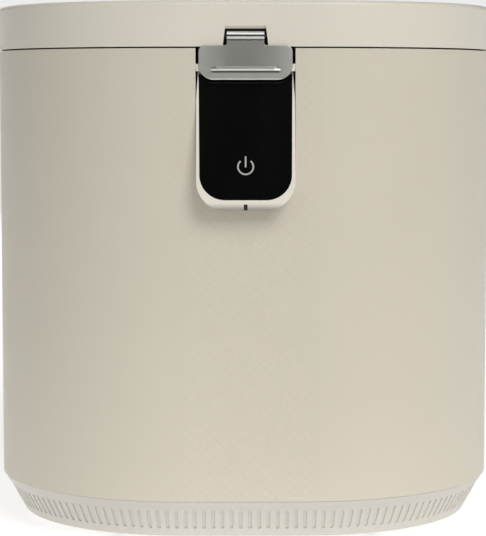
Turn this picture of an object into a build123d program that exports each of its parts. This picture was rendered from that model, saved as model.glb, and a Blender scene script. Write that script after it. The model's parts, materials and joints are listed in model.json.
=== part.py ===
from build123d import *
import os
from math import acos, atan2, cos, degrees, pi, radians, sin, tan

# An electric food waste composter: an upright rounded body with a hinged lid, a removable bucket
# with a stirring agitator, a heated chamber, a gear drive below and a blower with a carbon filter
# behind. Millimetres, +Z up, the front faces -Y, the feet stand on z = 0 at the middle of the
# overall outline.

# ---- fits and gaps ----
gap = 0.3               # clearance between parts that stand close
running = 0.05          # radial clearance of a turning fit
seam = 0.8              # open joint between lid and body
base_seam = 0.1         # joint between body wall and skirt
wall = 2.6              # moulded wall thickness
sheet = 1.2             # drawn metal thickness

# ---- outer body ----
body_width = 284.2
body_depth = 296.0
front_radius = 110.0    # plan radius of the front corners
rear_radius = 80.0      # plan radius of the rear corners
top_z = 294.3           # top of the closed lid
lid_height = 24.6
lid_z = top_z - lid_height
shell_z = 24.7          # lower end of the body wall
shell_top = lid_z - seam
edge_round = 0.6
seam_round = 0.25       # edges that meet at a joint
lid_round = 2.6

# ---- base skirt ----
skirt_z = 3.0           # lower end of the skirt
skirt_top = shell_z - base_seam
lip_height = 3.2        # plain band under the joint
lip_z = skirt_top - lip_height
lip_inset = 0.5         # inset of the band at its top
lip_step = 0.5          # tapered wall behind the band
foot_inset = 12.7       # inset of the tapered wall at its bottom
skirt_wall = 3.2
flange_inset = 30.0     # inner edge of the skirt's bottom flange
flange_thick = 2.0
tongue_inset = 4.0
tongue_width = 8.0
groove_pitch = 5.0
groove_width = 2.0
groove_low = 7.8
groove_high = 19.0
groove_depth = 0.6

# ---- base plate, feet and screws ----
floor_top = skirt_z + flange_thick
plate_thick = 3.0
plate_gap = 0.4
plate_top = floor_top + plate_thick
foot_radius = 11.0
foot_stem = 4.0
foot_x_front = 74.0
foot_y_front = 62.0     # behind the front wall
foot_x_rear = 84.0
foot_y_rear = 50.0      # in front of the rear wall
screw_radius = 1.5
head_radius = 3.0
head_height = 1.4
base_screw_inset = 22.0
shell_screw_inset = 9.8

# ---- lid latch ----
pin_rise = 5.5          # latch pin above the lid's lower edge
pin_z = lid_z + pin_rise
pin_radius = 1.2
pin_sunk = 1.6          # pin behind the front wall
barrel_radius = 2.8
barrel_length = 19.9
latch_width = 50.0
latch_height = 18.4
latch_rise = 0.8        # top of the plate above the lid's lower edge
latch_top = lid_z + latch_rise
latch_low = latch_top - latch_height
latch_thick = 1.2
latch_proud = 1.5       # front of the latch plate before the wall
latch_top_round = 3.5
latch_edge = 0.5        # rounding of the plate's front edge
neck_round = 1.2        # between the plate's neck and its shoulders
neck_step = 0.5         # slope between the neck and the barrel
barrel_groove = 0.9     # line where the rolled sheet closes on itself
groove_sunk = 0.6       # depth of that line
latch_low_round = 8.0
bead_rise = 5.3         # middle of the bead above the plate's lower edge
bead_z = latch_low + bead_rise
bead_length = 37.9
bead_height = 3.4
bead_proud = 0.7
bead_crest = 0.7        # width of the bead's flat top
notch_width = 22.0
notch_flare = 1.2       # widening of the notch at each side of its mouth
notch_height = 9.6
notch_bevel = 1.45      # slope above the notch
notch_top = lid_z + notch_height
notch_depth = 8.0
recess_width = 53.2
recess_height = 8.3
recess_low = shell_top - recess_height
recess_depth = 11.4
keeper_width = 16.0
keeper_height = 4.7
keeper_low = recess_low + 4 * gap
keeper_high = keeper_low + keeper_height
keeper_depth = 5.5
magnet_width = 24.0

# ---- control pod ----
pod_width = 52.6
pod_height = 74.6
pod_drop = 11.3         # top of the pod under the top of the wall
pod_high = shell_top - pod_drop
pod_low = pod_high - pod_height
pod_proud = 12.7        # most forward point before the wall
pod_tilt = 13.2         # lean of the face from upright, degrees
pod_roll = 3.3          # rounding under the face
roll_fullness = 0.86    # bulge of that rounding, 1 for a full quarter round
pod_corner = 16.0
pod_top_corner = 1.7
pod_back = 9.0          # behind the wall's outer face
glass_width = 48.8
glass_flare = 0.55      # widening at each side of the top
glass_rise = 5.7        # lower edge of the glass above the pod's underside
glass_low = pod_low + glass_rise
glass_high = pod_high - wall
glass_corner = 13.6
glass_thick = 1.2
glass_sunk = 0.15
icon_rise = 17.55       # middle of the symbol above the glass's lower edge
icon_z = glass_low + icon_rise
icon_radius = 4.5
icon_stroke = 0.85
icon_thick = 0.12
icon_gap = 82.0         # opening of the ring, degrees
icon_bar_low = -0.3
icon_bar_high = 5.6
board_thick = 1.2
pod_board_width = 44.0
collar_width = 4.0      # collar of the pod behind the wall
plug_width = 2.0
plug_height = 3.45
plug_high = pod_low + plug_height
wedge_height = 16.0     # open slits between the top of the pod and the wall
wedge_rim = 0.3         # pod's edge beside the glass at the top of a slit
brow_gap = 0.1          # strip over the pod to the wall at its sides
brow_web = 0.9          # thickness of the web that joins the strip to the pod

# ---- drive ----
post_height = 36.0      # gearbox above the base plate
post_radius = 5.0
post_inset = 7.0
tray_z = plate_top + post_height
tray_wall = 3.0
tray_gap = 1.0          # gears to the gearbox wall
tray_corner = 20.0
cover_thick = 3.0
slow_module = 1.25      # output gear and its pinion
fast_module = 1.0       # motor pinion and its wheel
wheel_teeth = 54
pinion_teeth = 18
pressure_angle = 20.0
backlash = 0.2
gear_gap = 1.5          # between the gears, one above the other, and over the floor
fast_width = 6.0
slow_width = 7.0
fast_z = tray_z + tray_wall + gear_gap
slow_z = fast_z + fast_width + gear_gap
cover_gap = 3.0         # gears to the cover
cover_z = slow_z + slow_width + cover_gap
tray_half = slow_module * (wheel_teeth / 2 + 1) + tray_gap + tray_wall
axle_radius = 3.0
motor_radius = 21.0
motor_lift = 4.0        # motor above the base plate
motor_z = plate_top + motor_lift
motor_shaft = 2.5
bushing_wall = 4.0

# ---- chamber ----
front_space = 17.8      # front wall to the chamber's insulation
rear_space = 77.8       # insulation to the rear wall, for the blower and the filter
sleeve_thick = 7.0
sleeve_out = (body_depth - front_space - rear_space) / 2
sleeve_in = sleeve_out - sleeve_thick
chamber_radius = sleeve_in - sheet
drive_space = 15.0      # gearbox cover to the chamber floor, for the heater
chamber_floor = cover_z + cover_thick + drive_space
chamber_hole = 9.0      # drive shaft passage in the floor
deck_drop = 7.2         # deck under the lid's lower edge
deck_z = lid_z - deck_drop
deck_thick = 3.0
deck_top = deck_z + deck_thick
ledge_width = 5.0
ledge_height = 4.0
deck_gap = 0.8          # deck's hole to the liner
deck_hole = chamber_radius + sheet + deck_gap
flange_width = 5.0
flange_radius = deck_hole + flange_width
heater_inset = 12.0
heater_radius = chamber_radius - heater_inset
heater_thick = 4.0
element_inset = 25.0
element_radius = heater_radius - element_inset
element_tube = 3.5
element_opening = 8.0   # half the gap between the ends of the element, degrees
probe_x = 24.0

# ---- bucket and agitator ----
bucket_gap = 4.0        # bucket wall to the chamber wall
bucket_radius = chamber_radius - bucket_gap
bucket_z = chamber_floor + sheet + gap
bucket_wall = 1.6
bucket_floor = 2.5
bucket_drop = 16.5      # bucket rim under the deck
bucket_top = deck_z - bucket_drop
rim_width = 2.5
rim_radius = bucket_radius + rim_width
rim_height = 1.6
hub_radius = 17.0
hub_cavity = 14.0
hub_height = 22.5
hub_top = bucket_z + hub_height
hub_roof = 4.0
bushing_radius = 7.5
bushing_flange = 9.5
shaft_radius = 5.0
socket_radius = 11.5
socket_rise = 5.5       # socket above the bucket's underside
socket_z = bucket_z + socket_rise
hex_across = 11.4
hex_height = 11.0
hex_grip = 8.0          # length of the coupling inside its socket
hex_top = socket_z + hex_grip
hex_low = hex_top - hex_height
agitator_gap = 0.8      # hub over the bushing's flange
agitator_z = hub_top + sheet / 2 + agitator_gap
agitator_hub = 13.0
agitator_height = 26.0
arm_gap = 6.4           # arm ends to the bucket wall
arm_reach = bucket_radius - bucket_wall - arm_gap
arm_width = 11.0
arm_thick = 4.0
arm_pitch = 28.0        # lean of each arm's blade, degrees
arm_count = 3
tooth_radius = 3.6
tooth_gap = 2.6         # teeth over the bucket floor
tooth_low = bucket_z + bucket_floor + tooth_gap
tooth_height = 42.6     # tall teeth above the foot of the hub
tooth_high = agitator_z + tooth_height
short_tooth_place = 0.62    # along the arm
bail_rise = 1.0         # bail's pivot above the rim
bail_z = bucket_top + bail_rise
bail_inset = 9.0
bail_radius = bucket_radius - bail_inset
bail_wire = 2.5
ear_width = 9.0
ear_height = 6.5        # above the rim
ear_top = bucket_top + ear_height
grip_radius = 5.0
grip_angle = 54.0

# ---- blower and filter ----
blower_drop = 40.5      # blower's axis under the deck
blower_z = deck_z - blower_drop
blower_gap = 7.6        # insulation to the blower housing
blower_radius = 34.0
blower_depth = 24.0
blower_wall = 2.0
impeller_gap = 5.0
impeller_radius = blower_radius - blower_wall - impeller_gap
impeller_hub = 6.0
impeller_shaft = 2.0
blade_count = 14
blade_thick = 1.2
port_radius = 12.8
duct_wall = 1.4
outlet_x = 12.0
fan_motor_radius = 15.0
fan_motor_length = 20.0
bay_half = 50.0
bay_height = 90.0
bay_drop = 39.0         # top of the filter bay under the blower's axis
bay_top = blower_z - bay_drop
bay_z = bay_top - bay_height
bay_step = 5.0          # front of the bay behind the front of the blower
drawer_wall = 1.8
scoop_width = 36.0
scoop_height = 12.0
scoop_depth = 11.0
grille_slots = 9
grille_pitch = 8.0
grille_width = 3.0

# ---- rear panel ----
panel_margin = 6.0      # panel beyond the filter bay and the vents
panel_lap = 4.0         # flange behind the wall
panel_flange = 2.0      # thickness of the flange

# ---- inlet, vents and main board ----
inlet_x = -34.0
inlet_z = 56.0
inlet_width = 27.5
inlet_height = 20.0
inlet_flange = 2.5
inlet_depth = 18.0
inlet_wall = 1.8
prong_width = 4.0
prong_thick = 2.0
prong_pitch = 7.0
vent_count = 9
vent_pitch = 5.5
vent_width = 2.6
vent_x = 12.0
vent_low = 42.0
vent_height = 30.0
board_gap = 1.0         # main board to the gearbox
board_front = 80.8      # main board behind the front wall
board_width = 62.0
board_depth = 96.0
standoff_height = 7.0
part_margin_x = 4.4     # first component from the board's edges
part_margin_y = 14.4
row_gap = 7.0
transformer_width = 22.0
transformer_depth = 20.0
transformer_height = 18.0
capacitor_radius = 5.0
capacitor_height = 19.0
capacitor_pitch = 13.0
capacitor_count = 3
relay_width = 14.0
relay_depth = 16.0
relay_height = 13.0
relay_pitch = 20.0
relay_count = 2
sink_width = 15.5
sink_depth = 16.0
sink_base = 4.0
sink_height = 15.0
sink_gap = 10.0
fin_pitch = 4.5
fin_thick = 2.0
fin_count = 4

# ---- rear hinges ----
hinge_x = 36.0
hinge_half = 12.0
hinge_knuckle = 9.4
hinge_radius = 5.0
hinge_gap = 0.3
hinge_pin = 2.0
hinge_leaf = 1.8
leaf_drop = 25.7        # body leaf's lower edge under the pin
leaf_rise = 18.3        # lid leaf's upper edge above the pin

# ---- lid ----
lid_wall = 2.8
liner_thick = 2.5
liner_z = lid_z + gap
gasket_gap = 2.5        # gasket's inner edge from the chamber wall
gasket_width = 4.0
gasket_in = chamber_radius + gasket_gap
gasket_out = gasket_in + gasket_width
channel_wall = 1.6
lid_screw_inset = 16.0
lid_boss = 4.0
lid_pad = 11.0
lid_pad_gap = 4.9
lid_pad_radius = gasket_in - channel_wall - lid_pad_gap

# ---- places that follow from the sizes ----
back_proud = 2 * hinge_radius + gap
body_y = (pod_proud - back_proud) / 2
front_y = body_y - body_depth / 2
rear_y = body_y + body_depth / 2
axis_y = front_y + front_space + sleeve_out
blower_y = axis_y + sleeve_out + blower_gap
bay_y = blower_y + bay_step
hinge_y = rear_y + gap + hinge_radius
hinge_z = (lid_z + shell_top) / 2
pin_y = front_y + pin_sunk
leaf_low = hinge_z - leaf_drop
leaf_high = hinge_z + leaf_rise
slow_centres = slow_module * (wheel_teeth + pinion_teeth) / 2
fast_centres = fast_module * (wheel_teeth + pinion_teeth) / 2
axle_y = axis_y + slow_centres
motor_y = axle_y + fast_centres
tray_front = axis_y - tray_half
tray_rear = motor_y + motor_radius + gap
inner_rear = rear_y - wall
panel_half = bay_half + panel_margin
panel_low = vent_low - panel_margin
panel_high = bay_top + panel_margin
board_x = -tray_half - board_gap - board_width
board_y = front_y + board_front


def save(name, *solids):
    """Write one part; a part of several solids is kept as a group."""
    shape = solids[0] if len(solids) == 1 else Compound(label=name, children=list(solids))
    export_step(shape, "parts/" + name + ".step")


def block(x0, x1, y0, y1, z0, z1):
    """A box between two corners."""
    box = Box(x1 - x0, y1 - y0, z1 - z0)
    return Pos((x0 + x1) / 2, (y0 + y1) / 2, (z0 + z1) / 2) * box


def centred(width, y0, y1, z0, z1):
    """A box centred across the object."""
    return block(-width / 2, width / 2, y0, y1, z0, z1)


def rod(radius, z0, z1, x=0.0, y=0.0):
    """An upright cylinder."""
    return Pos(x, y, z0) * extrude(Circle(radius), z1 - z0)


def tube(outer, inner, z0, z1, x=0.0, y=0.0):
    """An upright ring."""
    return Pos(x, y, z0) * extrude(Circle(outer) - Circle(inner), z1 - z0)


def rod_y(radius, y0, y1, x, z):
    """A cylinder along Y."""
    return Pos(x, y0, z) * Rot(-90, 0, 0) * extrude(Circle(radius), y1 - y0)


def rod_x(radius, x0, x1, y, z):
    """A cylinder along X."""
    return Pos(x0, y, z) * Rot(0, 90, 0) * extrude(Circle(radius), x1 - x0)


def plan(inset):
    """The body's outline seen from above, drawn in by an inset."""
    sketch = Rectangle(body_width - 2 * inset, body_depth - 2 * inset)
    sketch = fillet(sketch.vertices().sort_by(Axis.Y)[:2], front_radius - inset)
    return fillet(sketch.vertices().sort_by(Axis.Y)[-2:], rear_radius - inset)


def slab(inset, z0, z1):
    """The body's outline as an upright solid."""
    return Pos(0, body_y, z0) * extrude(plan(inset), z1 - z0)


def plan_point(run, inset):
    """Point and outward direction on the outline, a run to the right of the front middle."""
    half_width = body_width / 2 - inset
    half_depth = body_depth / 2 - inset
    front, rear = front_radius - inset, rear_radius - inset
    legs = (half_width - front, front * pi / 2, 2 * half_depth - front - rear,
            rear * pi / 2, half_width - rear)
    if run < legs[0]:
        return run, -half_depth, 0.0, -1.0
    run -= legs[0]
    if run < legs[1]:
        turn = run / front
        return (half_width - front + front * sin(turn), -half_depth + front - front * cos(turn),
                sin(turn), -cos(turn))
    run -= legs[1]
    if run < legs[2]:
        return half_width, -half_depth + front + run, 1.0, 0.0
    run -= legs[2]
    if run < legs[3]:
        turn = run / rear
        return (half_width - rear + rear * cos(turn), half_depth - rear + rear * sin(turn),
                cos(turn), sin(turn))
    run -= legs[3]
    return half_width - rear - run, half_depth, 0.0, 1.0


def half_outline(inset):
    """Length of the outline from the front middle to the rear middle."""
    front, rear = front_radius - inset, rear_radius - inset
    straight = body_width - 2 * inset + body_depth - 2 * inset - 2 * (front + rear)
    return straight + (front + rear) * pi / 2


def around(count, inset):
    """Evenly spaced places on the outline, alike on the left and right."""
    step = 2 * half_outline(inset) / count
    for k in range(count // 2):
        x, y, nx, ny = plan_point((k + 0.5) * step, inset)
        yield x, body_y + y, nx, ny
        yield -x, body_y + y, -nx, ny


# ---- base ----

taper_angle = degrees(atan2(foot_inset - lip_inset - lip_step, skirt_top - skirt_z))
taper_inset = lip_inset + lip_step + lip_height * tan(radians(taper_angle))


def skirt_groove_cutters():
    """Short upright grooves with round ends, set in the tapered wall."""
    middle = (groove_low + groove_high) / 2
    inset = taper_inset + (lip_z - middle) * tan(radians(taper_angle))
    length = (groove_high - groove_low) / cos(radians(taper_angle)) - groove_width
    cutter = extrude(SlotCenterToCenter(length, groove_width), groove_depth, both=True)
    count = 2 * round(half_outline(inset) / groove_pitch)
    lean = radians(taper_angle)
    for x, y, nx, ny in around(count, inset):
        out = Vector(nx * cos(lean), ny * cos(lean), -sin(lean))
        up = Vector(nx * sin(lean), ny * sin(lean), cos(lean))
        yield Plane(origin=(x, y, middle), x_dir=up, z_dir=out).location * cutter


def base_skirt():
    """Tapered plinth with a plain band above and a flange below that carries the base plate."""
    height = lip_z - skirt_z
    outer = extrude(plan(taper_inset), height, dir=(0, 0, -1), taper=taper_angle)
    outer = fillet(outer.edges().group_by(Axis.Z)[0], edge_round * 2)
    inner = extrude(plan(taper_inset + skirt_wall), height - flange_thick, dir=(0, 0, -1),
                    taper=taper_angle)
    place = Pos(0, body_y, lip_z)
    skirt = place * (outer - inner) - slab(flange_inset, skirt_z, floor_top)
    band = extrude(plan(lip_inset), lip_height, dir=(0, 0, -1), taper=taper_angle)
    band = Pos(0, body_y, skirt_top) * fillet(band.edges().group_by(Axis.Z)[-1], seam_round)
    band += slab(tongue_inset, skirt_top, shell_z)
    band -= slab(tongue_inset + tongue_width, lip_z, shell_z)
    skirt += band
    skirt -= [rod(screw_radius, skirt_z, floor_top, x, y) for x, y in base_screw_places()]
    skirt -= [rod(screw_radius, lip_z, shell_z, x, y) for x, y in shell_screw_places()]
    skirt -= list(skirt_groove_cutters())
    return skirt


def base_screw_places():
    """Six screws in the bottom flange."""
    return [(x, y) for x, y, nx, ny in around(6, base_screw_inset)]


def foot_places():
    front, rear = front_y + foot_y_front, rear_y - foot_y_rear
    return [(-foot_x_front, front), (foot_x_front, front), (-foot_x_rear, rear), (foot_x_rear, rear)]


def post_places():
    """Corners of the gearbox, over the posts of the base plate."""
    x = tray_half - post_inset
    return [(sx * x, y) for sx in (-1, 1) for y in (tray_front + post_inset, tray_rear - post_inset)]


def base_plate():
    """Floor of the base with four posts for the gearbox and holes for feet and screws."""
    lowest = foot_inset - (floor_top - skirt_z) * tan(radians(taper_angle)) + skirt_wall
    plate = slab(lowest + plate_gap, floor_top, plate_top)
    for x, y in post_places():
        plate += rod(post_radius, plate_top, tray_z, x, y)
        plate -= rod(screw_radius, tray_z - 3 * head_radius, tray_z, x, y)
    plate -= [rod(foot_stem, floor_top, plate_top, x, y) for x, y in foot_places()]
    plate -= [rod(screw_radius, floor_top, plate_top, x, y) for x, y in base_screw_places()]
    return plate


def rubber_feet():
    """Four round feet, each pushed up through the base plate and held by a wider head."""
    foot = fillet(rod(foot_radius, 0, floor_top).edges().group_by(Axis.Z)[0], edge_round)
    foot += rod(foot_stem, floor_top, plate_top)
    foot += rod(foot_stem + edge_round, plate_top, plate_top + head_height)
    return [Pos(x, y, 0) * foot for x, y in foot_places()]


def base_screws():
    screw = rod(head_radius, skirt_z - head_height, skirt_z) + rod(screw_radius, skirt_z, plate_top)
    return [Pos(x, y, 0) * screw for x, y in base_screw_places()]


# ---- body wall, deck and recess ----

def pod_outline(grow):
    """The pod seen from the front: small corners above, large corners below."""
    middle = (pod_low + pod_high) / 2
    sketch = Rectangle(pod_width + 2 * grow, pod_high - pod_low + 2 * grow)
    sketch = fillet(sketch.vertices().sort_by(Axis.Y)[:2], pod_corner + grow)
    sketch = fillet(sketch.vertices().sort_by(Axis.Y)[-2:], pod_top_corner + grow)
    return Pos(0, middle) * sketch


def through_front(sketch, y0, y1):
    """A sketch drawn as seen from the front, made solid between two depths."""
    return extrude(Plane.XZ.offset(-y0) * sketch, y1 - y0, dir=(0, 1, 0))


def shell_screw_places():
    """Six screws up through the skirt's band into the shell's flange."""
    return [(x, y) for x, y, nx, ny in around(6, shell_screw_inset)]


def recess_cutter():
    """Opening behind the latch, open to the top of the wall and down to the pod."""
    low = (pod_low + pod_high) / 2
    return centred(recess_width, front_y - wall, front_y + wall, low, shell_top + wall)


def vent_cutters():
    """A row of upright cooling slots low in the rear wall."""
    slot = SlotOverall(vent_height, vent_width, rotation=90)
    for k in range(vent_count):
        place = Pos(vent_x + k * vent_pitch, vent_low + vent_height / 2)
        yield through_front(place * slot, inner_rear - wall, rear_y + wall)


def outer_shell():
    """The upright body wall with its inner ledge, foot flange and openings."""
    shell = slab(0, shell_z, shell_top)
    shell = fillet(shell.edges().group_by(Axis.Z)[0], seam_round)
    shell = fillet(shell.edges().group_by(Axis.Z)[-1], seam_round)
    shell -= slab(wall, shell_z + ledge_height, shell_top)
    shell -= slab(tongue_inset + tongue_width, shell_z, shell_z + ledge_height)
    ledge = slab(wall, deck_z - ledge_height, deck_z)
    ledge -= slab(wall + ledge_width, deck_z - ledge_height, deck_z)
    ledge -= centred(recess_width + 4 * wall, front_y, front_y + 2 * recess_depth,
                     deck_z - ledge_height, deck_z)
    shell += ledge
    shell -= recess_cutter()
    shell -= through_front(pod_outline(gap), front_y - wall, front_y + wall)
    shell -= rear_window(gap)
    depth = ledge_height
    shell -= [rod(screw_radius, shell_z, shell_z + depth, x, y) for x, y in shell_screw_places()]
    return shell


def rear_window(grow):
    """Space of the rear panel in the wall, grown at its edges."""
    half, back = panel_half + grow, rear_y - rear_radius
    return block(-half, half, back, rear_y + wall, panel_low - grow, panel_high + grow)


def rear_panel():
    """Plate in the rear wall, held by a flange behind it, with inlet, vents and filter window."""
    low, high = panel_low - panel_lap, panel_high + panel_lap
    panel = (slab(0, low, high) - slab(wall, low, high)) & rear_window(0)
    flange = slab(wall, low, high) - slab(wall + panel_flange, low, high)
    panel += (flange & rear_window(panel_lap)) - rear_window(-panel_flange)
    panel -= filter_window()
    panel -= block(inlet_x - inlet_width / 2, inlet_x + inlet_width / 2, inner_rear, rear_y,
                   inlet_z - inlet_height / 2, inlet_z + inlet_height / 2)
    return panel - list(vent_cutters())


def filter_window():
    half, low, high = bay_half - drawer_wall, bay_z + drawer_wall, bay_top - drawer_wall
    return block(-half, half, inner_rear, rear_y, low, high)


def shell_screws():
    screw = rod(screw_radius, lip_z, shell_z + ledge_height)
    screw += rod(head_radius, lip_z - head_height, lip_z)
    return [Pos(x, y, 0) * screw for x, y in shell_screw_places()]


def top_deck():
    """Plate that closes the top of the body around the chamber mouth."""
    deck = slab(wall + gap, deck_z, deck_top)
    deck -= rod(deck_hole, deck_z, deck_top, 0, axis_y)
    deck -= centred(recess_width + 4 * wall, front_y, front_y + recess_depth + wall + gap,
                    deck_z, deck_top)
    return deck


def catch_box():
    """Open box that lines the recess behind the latch."""
    outer = centred(recess_width + 2 * drawer_wall, front_y + wall,
                    front_y + recess_depth + drawer_wall, recess_low - drawer_wall,
                    shell_top - edge_round)
    inner = centred(recess_width, front_y + wall, front_y + recess_depth, recess_low, shell_top)
    return outer - inner


def latch_magnet():
    return centred(magnet_width, pin_y + keeper_depth, front_y + recess_depth, recess_low,
                   keeper_high)


# ---- control pod ----

roll_y = front_y - pod_proud + pod_roll
roll_z = pod_low + pod_roll
tilt = radians(pod_tilt)
face_origin = (0, roll_y - pod_roll * cos(tilt), roll_z + pod_roll * sin(tilt))


def face_plane(depth):
    """Plane of the pod's leaning face, moved in by a depth."""
    plane = Plane(origin=face_origin, x_dir=(1, 0, 0), z_dir=(0, -cos(tilt), sin(tilt)))
    return plane.offset(-depth)


def along_face(z):
    """Distance up the leaning face of a height."""
    return (z - face_origin[2]) / cos(tilt)


def face_panel(width, z0, z1, corner, flare=0.0):
    """Outline drawn on the leaning face, square above and rounded below."""
    low, high = along_face(z0), along_face(z1)
    half = width / 2
    sketch = make_face(Polyline((-half, low), (half, low), (half + flare, high),
                                (-half - flare, high), close=True))
    return fillet(sketch.vertices().sort_by(Axis.Y)[:2], corner)


def glass_outline(grow, top):
    """Outline of the glass, widening evenly up to a height."""
    flare = glass_flare * (top - glass_low) / (glass_high - glass_low)
    return face_panel(glass_width + 2 * grow, glass_low + running - grow, top, glass_corner, flare)


def pod_slits():
    """Two narrow wedges that part the top of the pod from the wall."""
    top, edge = pod_high + wall, pod_width / 2 + collar_width
    inner = glass_width / 2 + glass_flare + running + wedge_rim
    for side in (-1, 1):
        outline = Polyline((side * inner, top), (side * edge, top), (side * edge, pod_high - wedge_height),
                           (side * pod_width / 2, pod_high - wedge_height), (side * inner, pod_high),
                           close=True)
        yield through_front(make_face(outline), front_y - pod_proud, front_y + pod_back)


def pod_brow():
    """Strip of the wall between the pod and the latch recess, carried by a web over the pod."""
    strip = centred(recess_width - 2 * brow_gap, front_y, front_y + wall, pod_high, recess_low)
    return strip + centred(pod_width, front_y, front_y + pod_back, pod_high - brow_web,
                           pod_high + brow_web)


def into_face(sketch, depth, thickness):
    """A sketch on the leaning face made solid from one depth inward."""
    return extrude(face_plane(depth) * sketch, -thickness)


def pod_side():
    """The pod seen from its side: leaning face, rolled lower edge and flat underside."""
    reach = pod_high - face_origin[2]
    back = front_y + pod_back
    top = (face_origin[1] + reach * tan(tilt), pod_high)
    bulge = pod_roll * roll_fullness
    arc_middle = (roll_y - bulge * cos(pi / 4), roll_z - bulge * sin(pi / 4))
    outline = Polyline((roll_y, pod_low), (back, pod_low), (back, pod_high), top, face_origin[1:])
    outline += ThreePointArc(face_origin[1:], arc_middle, (roll_y, pod_low))
    side = make_face(outline)
    return Pos(-pod_width, 0, 0) * extrude(Plane.YZ * side, 2 * pod_width)


def control_bezel():
    """Pod body: a tongue-shaped frame that leans out of the wall, with a collar behind it."""
    front = through_front(pod_outline(0), front_y - 2 * pod_proud, front_y + pod_back)
    bezel = front & pod_side()
    collar = through_front(pod_outline(collar_width), front_y + wall, front_y + 2 * wall)
    collar -= centred(2 * pod_width, front_y, front_y + pod_back, pod_high - collar_width, top_z)
    bezel += collar
    bezel -= list(pod_slits())
    bezel -= into_face(glass_outline(running, glass_high + pod_proud), -pod_proud,
                       pod_proud + glass_thick + glass_sunk)
    step = glass_thick + glass_sunk
    low, high = glass_low + glass_corner, glass_high - 2 * wall
    window = face_panel(pod_board_width - 3 * wall, low + wall, high - wall, wall)
    bezel -= into_face(window, step, pod_proud)
    pocket = face_panel(pod_board_width + 2 * gap, low - gap, high + gap, gap)
    bezel -= into_face(pocket, step + wall / 2, 2 * pod_proud)
    bezel -= centred(plug_width, front_y - pod_proud - wall, roll_y, pod_low, plug_high)
    return bezel + pod_brow()


def display_glass():
    return into_face(glass_outline(0, glass_high), glass_sunk, glass_thick)


def power_symbol():
    """Standby symbol: an open ring and an upright bar, printed on the glass."""
    centre = along_face(icon_z)
    ring = Circle(icon_radius) - Circle(icon_radius - icon_stroke)
    reach = 2 * icon_radius
    side = reach * tan(radians(icon_gap / 2))
    ring -= make_face(Polyline((0, 0), (side, reach), (-side, reach), (0, 0)))
    bar = Rectangle(icon_stroke, icon_bar_high - icon_bar_low)
    bar = Pos(0, (icon_bar_high + icon_bar_low) / 2) * bar
    mark = Pos(0, centre) * ring, Pos(0, centre) * bar
    return [into_face(part, glass_sunk - icon_thick, icon_thick) for part in mark]


def control_board():
    """Touch board behind the glass, with two small chips on its back."""
    low, high = glass_low + glass_corner, glass_high - 2 * wall
    depth = glass_thick + glass_sunk + wall / 2
    board = into_face(face_panel(pod_board_width, low, high, gap), depth, board_thick)
    chip = into_face(Pos(0, along_face(low) + 2 * wall) * Rectangle(3 * wall, 2 * wall),
                     depth + board_thick, board_thick)
    return board + chip


def bezel_plug():
    """Dark insert under the pod's face."""
    side = centred(plug_width, roll_y - pod_roll, roll_y, pod_low, plug_high)
    return side & (Pos(0, gap, 0) * pod_side())


# ---- chamber ----

def chamber_liner():
    """Drawn metal pot that holds the bucket, hung from the deck by its flange."""
    pot = rod(chamber_radius + sheet, chamber_floor, deck_top, 0, axis_y)
    pot -= rod(chamber_radius, chamber_floor + sheet, deck_top, 0, axis_y)
    pot += tube(flange_radius, chamber_radius, deck_top, deck_top + sheet, 0, axis_y)
    pot -= rod(chamber_hole, chamber_floor, chamber_floor + sheet, 0, axis_y)
    pot -= rod_y(port_radius + gap, axis_y, blower_y, 0, blower_z)
    return pot


def insulation_sleeve():
    sleeve = tube(sleeve_out, sleeve_in, chamber_floor, deck_z, 0, axis_y)
    return sleeve - rod_y(port_radius + gap, axis_y, blower_y, 0, blower_z)


def element_ring(radius):
    z = chamber_floor - element_tube - heater_thick / 4
    return Pos(0, axis_y, z) * Torus(element_radius, radius)


def heater_plate():
    """Metal disc under the chamber floor, grooved for the heating element."""
    plate = rod(heater_radius, chamber_floor - heater_thick, chamber_floor, 0, axis_y)
    plate -= rod(chamber_hole, chamber_floor - heater_thick, chamber_floor, 0, axis_y)
    return plate - element_ring(element_tube + running)


def heater_element():
    """Open ring of tube whose two ends turn down."""
    middle = chamber_floor - element_tube - heater_thick / 4
    low = chamber_floor - 3 * heater_thick - middle
    profile = Plane.XZ * Pos(element_radius, 0) * Circle(element_tube)
    ring = Rot(0, 0, element_opening - 90) * revolve(profile, Axis.Z, 360 - 2 * element_opening)
    turn = radians(element_opening)
    for side in (-1, 1):
        x, y = side * element_radius * sin(turn), -element_radius * cos(turn)
        ring += Pos(x, y, 0) * Sphere(element_tube)
        ring += rod(element_tube, low, 0, x, y)
    return Pos(0, axis_y, middle) * ring


def temperature_probe():
    low = chamber_floor - heater_thick
    probe = rod(2 * element_tube, low - heater_thick, low, probe_x, axis_y)
    return probe + rod(element_tube, low - 2 * heater_thick, low, probe_x, axis_y)


# ---- bucket ----

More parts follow.
